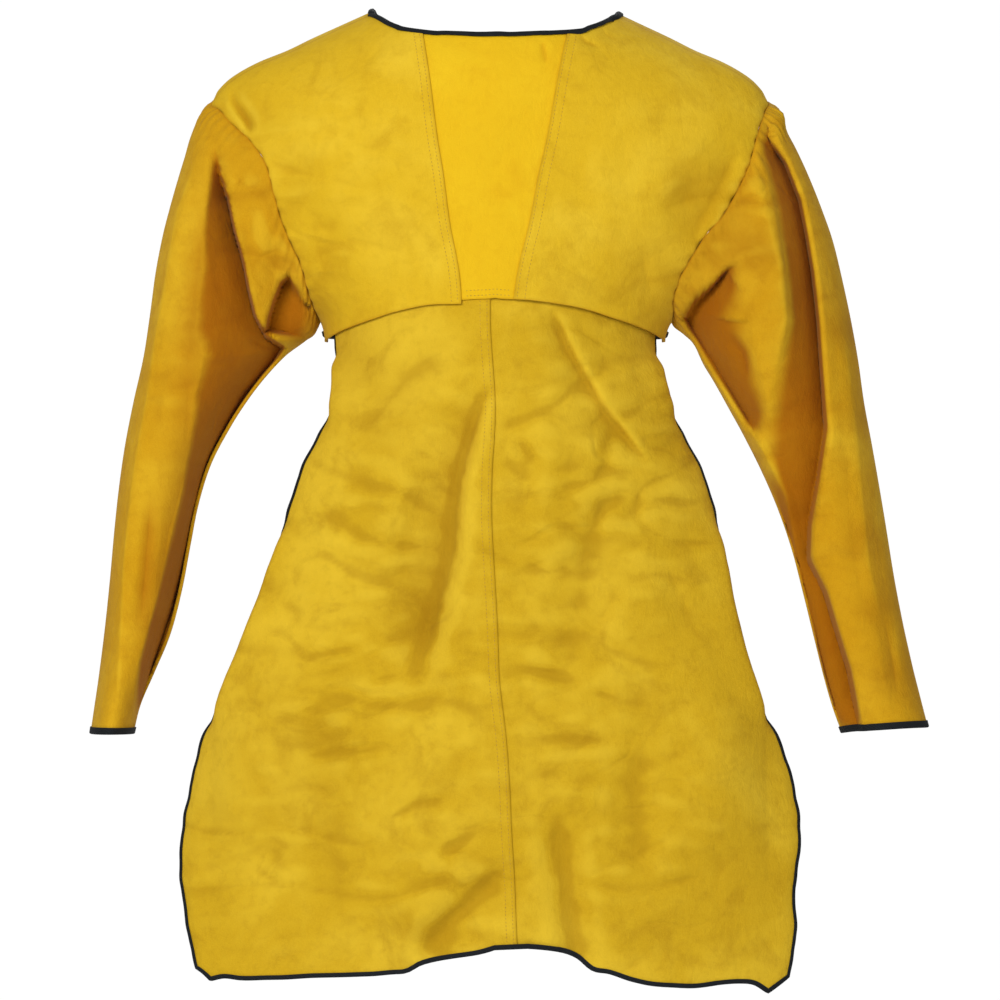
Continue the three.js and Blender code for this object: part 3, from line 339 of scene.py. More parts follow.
SLEEVE_FOLDS = {
    Side.LEFT: (
        Fold(((-268, -119), (-262, -154), (-255, -177), (-249, -205), (-240, -237), (-235, -263), (-229, -288),
             (-219, -307), (-204, -317), (-214, -336), (-231, -358), (-245, -379), (-257, -402), (-268, -429),
             (-276, -460), (-292, -515), (-307, -562), (-327, -619), (-340, -693)),
             (6, 12, 22, 30, 39, 48, 56, 64, 76, 70, 56, 46, 34, 27, 24, 21, 17, 13, 10),
             (5, 4, 4, 4, 4, 4, 4, 4, 5, 5, 6, 7, 8, 8, 8, 8, 8, 7, 6), 42.0, 0.75, 0.1, 0.9),
        Fold(((-272, -140), (-277, -189), (-282, -238), (-288, -284), (-292, -333), (-293, -425), (-311, -491),
             (-324, -567), (-343, -653)), (10, 20, 26, 29, 33, 44, 38, 33, 20), (40, 50, 60, 70, 80, 50, 40, 30, 20),
             9.0, 0.5, 0.15, 0.9, 0.65),
        Fold(((-193, -248), (-203, -256), (-210, -273), (-215, -290), (-218, -307)), 4, (24, 34, 42, 44, 40), 32.0,
             0.5, 0.12, 0.85),
        Fold(((-238, -307), (-221, -316), (-206, -320)), 6, 6, 3.0),
        Fold(((-276, -121), (-290, -156), (-302, -189), (-308, -224), (-314, -263), (-323, -309), (-331, -368),
             (-338, -407), (-344, -446), (-352, -522), (-356, -602), (-359, -675)), 16, 16, -5.0, 0.9, 0.1),
        Fold(((-246, -147), (-242, -157), (-244, -168)), 6, 8, 3.0),
        Fold(((-225, -174), (-221, -212), (-218, -256)), 16, 14, -5.0, 0.2, 0.4),
        Fold(((-326, -444), (-332, -520), (-339, -596)), 12, 12, 4.0, 0.4, 0.35),
        Fold(((-297, -130), (-303, -147), (-318, -174)), 10, 10, 3.0, 0.4, 0.4),
    ),
    Side.RIGHT: (
        Fold(((255, -94), (263, -121), (277, -143), (290, -177), (296, -209), (302, -246), (307, -292), (311, -349),
             (314, -394), (306, -446), (299, -486), (298, -519), (314, -551), (325, -588), (336, -625), (349, -698)),
             (10, 18, 22, 27, 29, 30, 32, 48, 60, 52, 34, 20, 28, 30, 30, 26),
             (4, 4, 4, 4, 4, 4, 4, 4, 5, 5, 5, 5, 5, 5, 5, 5), 34.0, 0.75, 0.08, 0.95),
        Fold(((235, -237), (221, -244), (206, -261), (190, -275), (183, -290), (195, -309), (210, -332), (224, -356),
             (240, -383), (252, -406)), (4, 4, 4, 4, 5, 6, 7, 7, 7, 7), (10, 24, 38, 50, 58, 56, 44, 34, 24, 14),
             24.0, 0.6, 0.12, 0.8),
        Fold(((206, -337), (226, -370), (242, -392), (256, -415), (278, -457), (284, -486), (291, -523),
             (298, -561)), 8, 9, -5.5, 0.7, 0.15),
        Fold(((238, -109), (242, -140), (257, -187), (269, -237), (275, -292), (261, -341)), 30, 12, -7.0, 0.1, 0.3),
        Fold(((240, -94), (244, -109), (241, -121)), 5, 5, 3.0),
        Fold(((252, -88), (254, -104), (250, -117)), 5, 4, 3.4),
        Fold(((263, -85), (267, -98), (276, -113)), 5, 5, 3.0),
        Fold(((267, -86), (261, -94), (257, -104)), 9, 9, -5.0, 0.1, 0.45),
        Fold(((328, -273), (337, -349), (345, -425), (354, -520), (370, -596)), 14, 12, -4.0, 0.4, 0.2),
        Fold(((366, -558), (377, -615), (385, -668)), 12, 10, 3.4, 0.4, 0.4),
        Fold(((219, -301), (237, -322), (244, -352)), 14, 10, 5.0, 0.4, 0.4),
    ),
}

BACK_FOLDS = (
    Fold(((-120, -70), (-96, -170), (-110, -290)), 34, 30, 6.0, 0.2, 0.35),
    Fold(((40, -90), (22, -200), (30, -298)), 40, 34, 5.0, 0.1, 0.35),
    Fold(((150, -90), (124, -180), (132, -296)), 30, 26, 6.0, 0.3, 0.35),
    Fold(((-40, -60), (-30, -160), (-44, -260)), 34, 40, -4.0, 0.0, 0.4),
    Fold(((190, -120), (150, -160), (100, -176)), 14, 10, 3.0, 0.6, 0.4),
    Fold(((-196, -110), (-160, -150), (-120, -170)), 14, 10, 3.0, 0.6, 0.4),
)


def ripple(x: Array, z: Array, size: float, seed: float) -> Array:
    """Soft unevenness between about -1 and 1 at places seen from the front.

    Args:
        x: places across.
        z: heights.
        size: the distance from one swell to the next, in millimetres.
        seed: which pattern.

    Returns:
        The unevenness at each place.
    """
    spots = zip((x / size).ravel(), (z / size).ravel())
    return np.array([noise.noise(Vector((a, seed, b))) for a, b in spots]).reshape(x.shape)


@dataclass(frozen=True)
class Patch:
    """A round patch seen from the front, strongest in its middle."""

    x: float
    z: float
    reach: float
    strength: float

    def at(self, x: Array, z: Array) -> Array:
        """Its strength at some places."""
        return self.strength * np.exp(-((x - self.x) ** 2 + (z - self.z) ** 2) / self.reach**2)


def patches(*rows: tuple[float, float, float, float]) -> tuple[Patch, ...]:
    """Patches from rows of place, height, reach and strength."""
    return tuple(Patch(*row) for row in rows)


CRUMPLED = patches(
    (90, -368, 95, 1.0), (114, -472, 80, 1.1), (-90, -520, 110, 1.0), (-147, -653, 95, 0.8), (-48, -833, 70, 1.1),
    (71, -643, 90, 0.7), (-195, -130, 60, 0.6), (-157, -225, 60, 0.6), (195, -178, 60, 0.7), (-242, -216, 60, 0.8),
    (252, -206, 60, 0.8), (-256, -368, 70, 0.6), (280, -415, 80, 0.6), (157, -805, 110, 0.6), (-233, -805, 80, 0.6))

# Darker patches, partly stains on the leather and partly painted shade near the armholes, under the arms, on the
# sleeves' outer sides and in the apron's folds.
SOIL_AND_SHADE_PATCHES = patches(
    (-228, -94, 34, 0.7), (-193, -164, 40, 0.55), (-161, -237, 34, 0.6), (184, -157, 34, 0.75), (220, -174, 26, 0.8),
    (161, -273, 40, 0.4), (-62, -501, 60, 0.5), (-71, -577, 50, 0.55), (62, -311, 34, 0.4), (111, -390, 40, 0.5),
    (88, -505, 60, 0.45), (5, -833, 44, 0.25), (-66, -876, 34, 0.35), (-142, -325, 34, 0.4), (238, -824, 60, 0.35),
    (-242, -396, 60, 0.5), (290, -273, 44, 0.5), (290, -434, 44, 0.45), (138, -237, 50, 0.6), (199, -191, 40, 0.6),
    (-109, -368, 60, 0.5), (-185, -748, 70, 0.5), (-256, -263, 50, 0.6), (214, -282, 34, 0.6),
    (-223, -653, 60, 0.35), (-185, -294, 22, 1.3), (354, -501, 24, 0.9), (364, -567, 24, 1.0), (378, -634, 26, 1.0),
    (337, -301, 20, 0.8), (345, -387, 20, 0.8), (252, -216, 26, 0.8), (218, -225, 24, 0.7))


PLAIN_WEAR = 0.22
BACK_WEAR = 0.3


def wear(x: Array, z: Array) -> Array:
    """How crumpled the leather is at some places."""
    return PLAIN_WEAR + sum(patch.at(x, z) for patch in CRUMPLED)


def local_mean(values: Array, reach: int) -> Array:
    """The mean of a grid's values round each cell.

    Args:
        values: the grid.
        reach: how many cells it takes in on every side.

    Returns:
        The grid of means.
    """
    for axis in (0, 1):
        wide = np.pad(values, [(reach + 1, reach) if k == axis else (0, 0) for k in (0, 1)], mode="edge")
        sums = np.cumsum(wide, axis=axis)
        count = values.shape[axis]
        upper = np.take(sums, np.arange(count) + 2 * reach + 1, axis=axis)
        values = (upper - np.take(sums, np.arange(count), axis=axis)) / (2 * reach + 1)
    return values


def crumple(x: Array, z: Array, size: float, seed: float) -> Array:
    """A net of thin slanting creases, from 0 between them to 1 on them."""
    slant, thinness = 0.3, 3.0
    return (1 - np.minimum(np.abs(ripple(x + slant * z, z, size, seed)) * thinness, 1)) ** 2


def unit(vectors: Array) -> Array:
    """The same directions, one long."""
    return vectors / np.maximum(np.linalg.norm(vectors, axis=-1, keepdims=True), 1e-9)


def lengths_along(line: Array) -> Array:
    """How far each point of a line lies from its start."""
    return np.concatenate([[0], np.cumsum(np.linalg.norm(np.diff(line, axis=0), axis=1))])


def through_rows(rows: Array, at: Array) -> Array:
    """Reads a smooth curve through rows of points.

    Args:
        rows: the rows that it passes through, each a point or a ring of them.
        at: row numbers, which may lie between two rows.

    Returns:
        The points at those row numbers.
    """
    last = len(rows) - 1
    before = np.minimum(at.astype(int), last - 1)
    t = (at - before).reshape(-1, *[1] * (rows.ndim - 1))
    a, b = rows[before], rows[before + 1]
    slope_a = (b - rows[np.maximum(before - 1, 0)]) / 2
    slope_b = (rows[np.minimum(before + 2, last)] - a) / 2
    return ((2 * a - 2 * b + slope_a + slope_b) * t**3
            + (3 * b - 3 * a - 2 * slope_a - slope_b) * t**2 + slope_a * t + a)


class Body:
    """The surface that the garment lies on, by turn from side to side and wrap over the shoulder."""

    def __init__(self, cut: Cut) -> None:
        """Keeps the garment's sizes."""
        self.cut = cut

    def ridge(self, x: Array) -> Array:
        """Height of the shoulder ridge, seen from the front."""
        shoulder = np.where(x < 0, self.cut.shoulder_left, self.cut.shoulder_right)
        return -self.cut.shoulder_drop * RIDGE.read("across", np.abs(x) / shoulder, "drop")

    def drop_of_wrap(self, wrap: Array) -> Array:
        """How far below the ridge a wrap value lies."""
        turn = np.abs(wrap)
        arch = self.cut.shoulder_arch
        return np.where(turn < 1, arch * (1 - np.cos(turn * QUARTER)), arch * (1 + (turn - 1) * QUARTER))

    def wrap_of_drop(self, drop: Array) -> Array:
        """The wrap value of a drop below the ridge."""
        share = np.maximum(drop, 0) / self.cut.shoulder_arch
        return np.where(share < 1, np.arccos(1 - np.minimum(share, 1)) / QUARTER, 1 + (share - 1) / QUARTER)

    def point(self, turn: Array, wrap: Array) -> Array:
        """Points of the smooth surface.

        Args:
            turn: from -1 at the left side to 1 at the right side.
            wrap: 0 on the shoulder ridge, more than 0 in front and less behind.

        Returns:
            The points, in millimetres.
        """
        cut = self.cut
        drop = self.drop_of_wrap(wrap)
        down = drop / cut.full_length
        x = cut.chest_half * BODY.read("down", down, "half") * np.sin(turn * QUARTER)
        z = self.ridge(x) - drop
        bulge = np.cos(turn * QUARTER) * np.sin(np.minimum(np.abs(wrap), 1) * QUARTER)
        depth = cut.chest_depth * BODY.read("down", down, "front")
        middle = cut.chest_depth * BODY.read("down", down, "middle")
        y = np.where(wrap < 0, cut.back_depth * bulge, middle - depth * bulge)
        return np.stack([x, y, z], axis=-1)

    def normal(self, turn: Array, wrap: Array) -> Array:
        """Outward directions of the smooth surface.

        Args:
            turn: as for point.
            wrap: as for point.

        Returns:
            The directions, one long.
        """
        step = 0.002
        across = self.point(turn + step, wrap) - self.point(turn - step, wrap)
        along = self.point(turn, wrap + step) - self.point(turn, wrap - step)
        return unit(np.cross(along, across))

    def place(self, x: Array, z: Array, behind: bool = False) -> Array:
        """The turn and wrap of places on the surface.

        Args:
            x: places across, seen from the front.
            z: their heights.
            behind: whether they lie on the back.

        Returns:
            A turn and a wrap for each place.
        """
        x, z = np.asarray(x, float), np.asarray(z, float)
        drop = self.ridge(x) - z
        half = self.cut.chest_half * BODY.read("down", np.maximum(drop, 0) / self.cut.full_length, "half")
        turn = np.arcsin(np.clip(x / half, -1, 1)) / QUARTER
        wrap = self.wrap_of_drop(drop)
        return np.stack([turn, -wrap if behind else wrap], axis=-1)


BODY_SURFACE = Body(CUT)


CURVE_STEPS = 60
LAP_CELLS = 4


def curve_through(points: Array, cells: int) -> Array:
    """Evenly spaced places on a smooth line.

    Args:
        points: the places that the line passes through.
        cells: how many equal stretches it is cut into.

    Returns:
        The places, one more than the cells.
    """
    points = np.asarray(points, float)
    last = len(points) - 1
    line = through_rows(points, np.linspace(0, last, CURVE_STEPS * last + 1))
    lengths = lengths_along(line)
    even = np.linspace(0, lengths[-1], cells + 1)
    return np.column_stack([np.interp(even, lengths, line[:, d]) for d in range(points.shape[1])])


def edge_line(*stretches: tuple[int, Sequence[Array]]) -> Array:
    """An edge of a panel, from stretches of so many coarse cells through some places."""
    parts = [curve_through(np.array(through), cells * CUT.finer) for cells, through in stretches]
    return np.concatenate([parts[0], *[part[1:] for part in parts[1:]]])


def fill_edges(top: Array, foot: Array, left: Array, right: Array) -> Array:
    """Fills a panel's grid between its edges.

    Args:
        top: the places of the top edge, from left to right.
        foot: those of the foot.
        left: the places of the left edge, from the top down.
        right: those of the right edge.

    Returns:
        The grid, row by row from the top.
    """
    u = np.linspace(0, 1, len(top))[None, :, None]
    v = np.linspace(0, 1, len(left))[:, None, None]
    between = top[None] * (1 - v) + foot[None] * v + left[:, None] * (1 - u) + right[:, None] * u
    corners = (top[0] * (1 - u) * (1 - v) + top[-1] * u * (1 - v) + foot[0] * (1 - u) * v + foot[-1] * u * v)
    return between - corners


def lap_strip(free: Array, joined: Array) -> Array:
    """The cells of a lap, from its free edge up to the line where the panel's own grid starts."""
    share = np.linspace(0, 1, LAP_CELLS, endpoint=False)[None, :, None]
    return free[:, None] * (1 - share) + joined[:, None] * share


class Pattern:
    """The garment's panels, as grids of places on the body, and the seams that they share."""

    def __init__(self, cut: Cut, body: Body) -> None:
        """Keeps the sizes and the body."""
        self.cut = cut
        self.body = body

    def tip(self, side: Side) -> Array:
        """The end of the shoulder seam at a shoulder point."""
        turn = self.body.place(side.value * self.cut.shoulder(side), -self.cut.shoulder_drop)[0]
        return np.array([turn, self.cut.shoulder_seam])

    def armhole(self, side: Side, behind: bool) -> tuple[int, list[Array]]:
        """The armhole's seam from the shoulder point to the underarm.

        Args:
            side: which armhole.
            behind: whether its back half is meant.

        Returns:
            How many coarse cells it has, and the places that it passes through.
        """
        cut = self.cut
        column = "left" if side is Side.LEFT else "right"
        down, share = ARMHOLE.columns["down"][1:-1], ARMHOLE.columns[column][1:-1]
        reach = cut.shoulder(side) + (cut.chest_half - cut.shoulder(side)) * share
        height = -cut.shoulder_drop - (cut.underarm_drop - cut.shoulder_drop) * down
        lower = self.body.place(side.value * reach, height, behind)
        underarm = self.body.place(side.value * cut.chest_half, -cut.underarm_drop, behind)
        underarm[0] = side.value
        return cut.back_ring if behind else cut.front_ring, [self.tip(side), *lower, underarm]

    def side_foot(self, side: Side, height: float, behind: bool) -> Array:
        """The foot of the side seam under an arm."""
        foot = self.body.place(side.value * self.cut.chest_half * self.cut.side_foot_share, height, behind)
        foot[0] = side.value
        return foot

    def side_edge(self, side: Side, height: float, behind: bool) -> Array:
        """A panel's edge down the armhole and the short side seam under it."""
        armhole = self.armhole(side, behind)
        return edge_line(armhole, (1, [armhole[1][-1], self.side_foot(side, height, behind)]))

    def chest_foot(self, x: Array) -> Array:
        """Height of the chest's lower edge."""
        return -(self.cut.chest_length + self.cut.chest_side_dip * (np.asarray(x) / self.cut.chest_half) ** 2)

    def neck_line(self, x: Array) -> Array:
        """Height of the front neckline."""
        cut = self.cut
        rise = np.maximum(0, (np.abs(x) - cut.bib_top_half) / (cut.neck_half - cut.bib_top_half))
        return -cut.neck_drop * (1 - rise**cut.neck_bend)

    def neck_point(self, side: Side) -> Array:
        """The place where the neckline meets the shoulder seam."""
        return np.array([self.body.place(side.value * self.cut.neck_half, 0.0)[0], self.cut.shoulder_seam])

    def bib_line(self, side: Side, shift: float) -> Array:
        """The inner edge of a chest piece, or a line beside it.

        Args:
            side: which chest piece.
            shift: how far the line lies from the edge, away from the insert.

        Returns:
            The line's places, from the neck down.
        """
        cut = self.cut
        top_x, foot_x = side.value * (cut.bib_top_half + shift), cut.bib_foot(side) + side.value * shift
        t = np.linspace(0, 1, 5)
        top_z, foot_z = self.neck_line(top_x), self.chest_foot(foot_x)
        places = self.body.place(top_x + (foot_x - top_x) * t, top_z + (foot_z - top_z) * t)
        return edge_line((cut.front_ring + 1, places))

    def chest(self, side: Side) -> Array:
        """A chest piece, which laps over the insert and the apron.

        Args:
            side: which one.

        Returns:
            Its grid of places.
        """
        cut = self.cut
        inner, lap = self.bib_line(side, 0), self.bib_line(side, cut.lap)
        neck_x = side.value * (cut.bib_top_half + cut.lap + cut.neck_half) / 2
        neck = self.neck_point(side)
        middle = self.body.place(neck_x, self.neck_line(neck_x))
        top = edge_line((3, [lap[0], middle, neck]), (6, [neck, self.tip(side)]))
        foot_x = cut.bib_foot(side) + side.value * cut.lap
        along = foot_x + (side.value * cut.chest_half - foot_x) * np.array([0.25, 0.5, 0.7, 0.85])
        height = -(cut.chest_length + cut.chest_side_dip)
        side_foot = self.side_foot(side, height, False)
        foot = edge_line((9, [lap[-1], *self.body.place(along, self.chest_foot(along)), side_foot]))
        grid = fill_edges(top, foot, lap, self.side_edge(side, height, False))
        return np.concatenate([lap_strip(inner, grid[:, 0]), grid], axis=1)

    def insert(self) -> Array:
        """The insert, whose sides lie under the chest pieces.

        Returns:
            Its grid of places.
        """
        cut = self.cut

        def across(start: float, end: float, height: Callable[[Array], Array]) -> Array:
            """A line across the insert at a height that depends on the place."""
            x = np.linspace(start, end, 5)
            return edge_line((6, self.body.place(x, height(x))))

        top = across(-cut.bib_top_half, cut.bib_top_half, self.neck_line)
        foot = across(-cut.bib_foot_left, cut.bib_foot_right, self.chest_foot)
        grid = fill_edges(top, foot, self.bib_line(Side.LEFT, 0), self.bib_line(Side.RIGHT, 0))
        hidden = [self.bib_line(side, cut.lap * 0.9)[:, None] for side in Side]
        return np.concatenate([hidden[0], grid, hidden[1]], axis=1)

    def back(self) -> Array:
        """The back, with the back of the neck opening in its top edge.

        Returns:
            Its grid of places.
        """
        cut = self.cut
        shares, drops = np.array([-0.93, -0.6, 0, 0.6, 0.93]), np.array([0.35, 0.85, 1, 0.85, 0.35])
        neck = self.body.place(shares * cut.neck_half, -drops * cut.neck_back_drop, True)
        left, right = (self.neck_point(side) for side in Side)
        tips = [self.tip(side) for side in Side]
        top = edge_line((6, [tips[0], left]), (14, [left, *neck, right]), (6, [right, tips[1]]))
        middles = self.body.place(np.array([-0.75, -0.5, 0, 0.5, 0.75]) * cut.chest_half, -cut.back_length, True)
        ends = [self.side_foot(side, -cut.back_length, True) for side in Side]
        foot = edge_line((26, [ends[0], *middles, ends[1]]))
        sides = [self.side_edge(side, -cut.back_length, True) for side in Side]
        return fill_edges(top, foot, *sides)

    def hem(self, x: Array) -> Array:
        """Height of the hem."""
        cut = self.cut
        return -cut.full_length + cut.hem_rise * HEM.read("across", np.asarray(x) / cut.hem_half, "rise")

    def apron_line(self, column: str, shift: float = 0.0) -> Array:
        """One of the apron's long lines, from under the chest down to the hem.

        Args:
            column: its column in the table of the apron's edges.
            shift: how far the line lies beside it, to the right.

        Returns:
            The line's places.
        """
        cut = self.cut
        x = APRON_EDGES.columns[column] * cut.hem_half + shift
        z = -cut.chest_length - (cut.full_length - cut.chest_length) * APRON_EDGES.columns["down"]
        hem_x = HEM_ENDS[column] * cut.hem_half + shift
        top = self.body.place(x[0], self.chest_foot(x[0]) + cut.lap)
        return edge_line((20, [top, *self.body.place(x, z), self.body.place(hem_x, self.hem(hem_x))]))

    def apron(self, side: Side) -> Array:
        """An apron half. The left half laps over the right one at the seam.

        Args:
            side: which half.

        Returns:
            Its grid of places.
        """
        cut = self.cut
        start, end = ("left", "seam") if side is Side.LEFT else ("seam", "right")
        seam, lap = self.apron_line("seam"), self.apron_line("seam", -cut.lap)
        left = self.apron_line("left") if side is Side.LEFT else seam
        right = lap if side is Side.LEFT else self.apron_line("right")
        across = HEM.columns["across"]
        inside = across[(across > HEM_ENDS[start] + 0.03) & (across < HEM_ENDS[end] - 0.07)] * cut.hem_half
        foot = edge_line((10, [left[-1], *self.body.place(inside, self.hem(inside)), right[-1]]))
        ends = [APRON_EDGES.columns[name][0] for name in (start, end)]
        x = (ends[0] + (ends[1] - ends[0]) * np.array([0.25, 0.5, 0.75])) * cut.hem_half
        top = edge_line((10, [left[0], *self.body.place(x, self.chest_foot(x) + cut.lap), right[0]]))
        grid = fill_edges(top, foot, left, right)
        if side is Side.RIGHT:
            return np.concatenate([lap_strip(lap, grid[:, 0]), grid], axis=1)
        return np.concatenate([grid, lap_strip(seam, grid[:, -1])[:, ::-1]], axis=1)


def distance_in(points: Array, edge: Edge) -> Array:
    """How far each point of a grid lies from one of its edges, along its row or column.

    Args:
        points: the grid.
        edge: the edge.

    Returns:
        A distance for each point.
    """
    axis = 0 if edge in (Edge.TOP, Edge.FOOT) else 1
    turned = points if edge in (Edge.TOP, Edge.LEFT) else np.flip(points, axis)
    steps = np.linalg.norm(np.diff(turned, axis=axis), axis=-1)
    zero = np.zeros_like(np.take(steps, [0], axis=axis))
    far = np.concatenate([zero, np.cumsum(steps, axis=axis)], axis=axis)
    return far if edge in (Edge.TOP, Edge.LEFT) else np.flip(far, axis)


def grid_normals(points: Array, closed: bool = False) -> Array:
    """Directions across a grid of points, outward where its rows run right and down in front.

    Args:
        points: the grid.
        closed: whether each row closes on itself.

    Returns:
        A direction for each point, one long.
    """
    if closed:
        across = np.roll(points, -1, axis=1) - np.roll(points, 1, axis=1)
    else:
        across = np.gradient(points, axis=1)
    return -unit(np.cross(across, np.gradient(points, axis=0)))


def outward(points: Array) -> Array:
    """Directions out of a tube of points whose rows close on themselves."""
    normal = grid_normals(points, True)
    middle = points.mean(axis=1, keepdims=True)
    return normal * np.sign(np.mean(np.sum(normal * (points - middle), axis=-1)))


def add_object(name: str, data: bpy.types.ID | None) -> bpy.types.Object:
    """Adds an object to the scene."""
    added = bpy.data.objects.new(name, data)
    bpy.context.scene.collection.objects.link(added)
    return added


def add_mesh(name: str, shape: bmesh.types.BMesh, finish: bpy.types.Material) -> bpy.types.Object:
    """Adds an object made of a finished bmesh.

    Args:
        name: the object's name.
        shape: the bmesh, which is freed.
        finish: its material.

    Returns:
        The object.
    """
    mesh = bpy.data.meshes.new(name)
    shape.to_mesh(mesh)
    shape.free()
    mesh.materials.append(finish)
    return add_object(name, mesh)


def new_piece(name: str, shape: bmesh.types.BMesh, finish: bpy.types.Material) -> bpy.types.Object:
    """Adds a smooth piece of the garment.

    Args:
        name: the piece's name.
        shape: its finished bmesh, which is freed.
        finish: its material.

    Returns:
        The piece.
    """
    piece = add_mesh(name, shape, finish)
    piece.data.polygons.foreach_set("use_smooth", np.ones(len(piece.data.polygons), dtype=bool))
    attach(piece, "root")
    return piece


def sheet_piece(name: str, points: Array, values: dict[str, Array], finish: bpy.types.Material,
                thickness: float, closed: bool = False) -> bpy.types.Object:
    """Makes one piece of leather or tape from a grid of points on its outer face.

    Args:
        name: the piece's name.
        points: the grid in millimetres, row by row.
        values: numbers for each point that the finish reads by name.
        finish: its material.
        thickness: its wall in millimetres, which lies under the points.
        closed: whether each row closes on itself.

    Returns:
        The piece.
    """
    if closed:
        points = np.concatenate([points, points[:, :1]], axis=1)
        values = {key: np.concatenate([value, value[:, :1]], axis=1) for key, value in values.items()}
    rows, columns = points.shape[:2]
    shape = bmesh.new()
    shape.loops.layers.uv.new("UVMap")
    layers = {key: shape.verts.layers.float.new(key) for key in values}
    bmesh.ops.create_grid(shape, x_segments=columns - 1, y_segments=rows - 1, size=1.0, calc_uvs=True)
    for vert in shape.verts:
        i = round((vert.co.x + 1) / 2 * (columns - 1))
        j = round((1 - vert.co.y) / 2 * (rows - 1))
        vert.co = points[j, i] * MM
        for key, layer in layers.items():
            vert[layer] = values[key][j, i]
    if closed:
        bmesh.ops.remove_doubles(shape, verts=[v for v in shape.verts if v.is_boundary], dist=1e-6)
    for rim in shape.edges:
        rim.smooth = not rim.is_boundary
    piece = new_piece(name, shape, finish)
    wall = piece.modifiers.new("wall", "SOLIDIFY")
    wall.thickness = thickness * MM
    wall.offset = -1.0
    wall.use_even_offset = False
    return piece


@dataclass
class Leather:
    """One leather panel: its grid of points in millimetres, its finish and what it stands for."""

    node: str
    points: Array
    closed: bool = False
    values: dict[str, Array] = field(default_factory=dict)
    piece: bpy.types.Object | None = None

    def edge(self, edge: Edge, inset: float = 0.0) -> tuple[Array, Array]:
        """A line beside an edge.

        Args:
            edge: the edge.
            inset: how far inside it the line lies.

        Returns:
            The line's points, and the outward directions along it.
        """
        far = distance_in(self.points, edge)
        normals = grid_normals(self.points, self.closed)
        down = edge in (Edge.TOP, Edge.FOOT)
        if edge in (Edge.FOOT, Edge.RIGHT):
            far, points, normals = (np.flip(a, 0 if down else 1) for a in (far, self.points, normals))
        else:
            points = self.points
        if down:
            far, points, normals = far.T, points.swapaxes(0, 1), normals.swapaxes(0, 1)
        line, out = (np.array([[np.interp(inset, f, row[:, d]) for d in range(3)] for f, row in zip(far, grid)])
                     for grid in (points, normals))
        return line, unit(out)


# Height, size and shift of the seed of each soft swell.
SWELLS = ((2.2, 92, 0), (1.1, 41, 7))
# Height, slant across and down, size and shift of the seed of the crumples where leather is worn.
CRUMPLES = ((2.4, 0.4, 0.25, 26, 11), (1.1, 0.5, -0.2, 13, 19))
# Height, squash, size and shift of the seed of the net of creases.
CREASE_NET = (2.0, 1.6, 95, 13)
# Reach in cells and depth in millimetres of the hollows that get painted shade and the ridges that get a painted
# highlight.
CREASE_SHADE_REACH, CREASE_SHADE_DEPTH = 4, 1.5
# Depths of folds at which their painted shade is full.
SLEEVE_SHADE, PANEL_SHADE = 26, 80
RIM_WIDTH = 2.5
SEAM_SUNK = 2.0
# Where folds start to show over the shoulder, and over how much of the wrap.
FOLDS_FROM, FOLDS_OVER = 0.12, 0.5
# How far the left chest piece's corner hangs down, and its reaches across and up.
CORNER_DROP, CORNER_ACROSS, CORNER_UP = 3.5, 24, 40
FRONT_SEED, BACK_SEED, SLEEVE_SEED = 3.0, 31.0, 11.0


@dataclass(frozen=True)
class Roll:
    """How an apron's free side is rolled back, in millimetres."""

    radius: float = 4.2
    length: float = 12.0
    start: float = 316.0
    ease: float = 22.0
    stretch: float = 34.0
    wave: float = 1.6
    wave_size: float = 26.0
    wave_reach: float = 16.0
    droop: float = 3.0
    droop_reach: float = 15.0
    waist: float = 400.0
    waist_ease: float = 30.0
    hip: float = 470.0
    hip_ease: float = 40.0
    thigh: float = 690.0
    thigh_ease: float = 50.0

    def share(self, z: Array) -> Array:
        """How far it is rolled back at a height: above the waist, and from the hip to the thigh."""
        above, below = smooth((z + self.waist) / self.waist_ease), smooth((-z - self.hip) / self.hip_ease)
        return np.clip(above + below * smooth((z + self.thigh) / self.thigh_ease), 0, 1)


@dataclass(frozen=True)
class Gather:
    """How the panels are drawn in and gathered at the armhole seam, in millimetres."""

    height: float = 0.7
    pitch: float = 2.3
    jitter: float = 3.0
    size: float = 30.0
    reach: float = 9.0
    sunk: float = 2.2
    sunk_reach: float = 3.2


@dataclass(frozen=True)
class Head:
    """How a sleeve is gathered and puffed at the armhole, in millimetres and radians."""

    puff: float
    tuck: float
    rise: float = 0.0
    gather: float = 1.2
    reach: float = 14.0
    pleat: float = 0.78
    pleat_jitter: float = 4.0
    pleat_size: float = 26.0
    pleat_ease: float = 5.0
    tuck_pleat: float = 1.1
    middle: float = 15.0
    width: float = 11.0
    crown: float = 0.62


@dataclass(frozen=True)
class Arm:
    """Where a sleeve's leather stands out, turns forward and is raised, in millimetres down from its armhole."""

    stand: float = 1.6
    stand_ease: float = 8.0
    stand_end: float = 420.0
    stand_fade: float = 150.0
    cuff: float = 380.0
    cuff_ease: float = 220.0
    head_ease: float = 14.0
    turn_ease: float = 0.35


ROLL, GATHER, ARM = Roll(), Gather(), Arm()
HEADS = {Side.LEFT: Head(2.6, 0.0), Side.RIGHT: Head(5.0, 2.0, 6.0)}


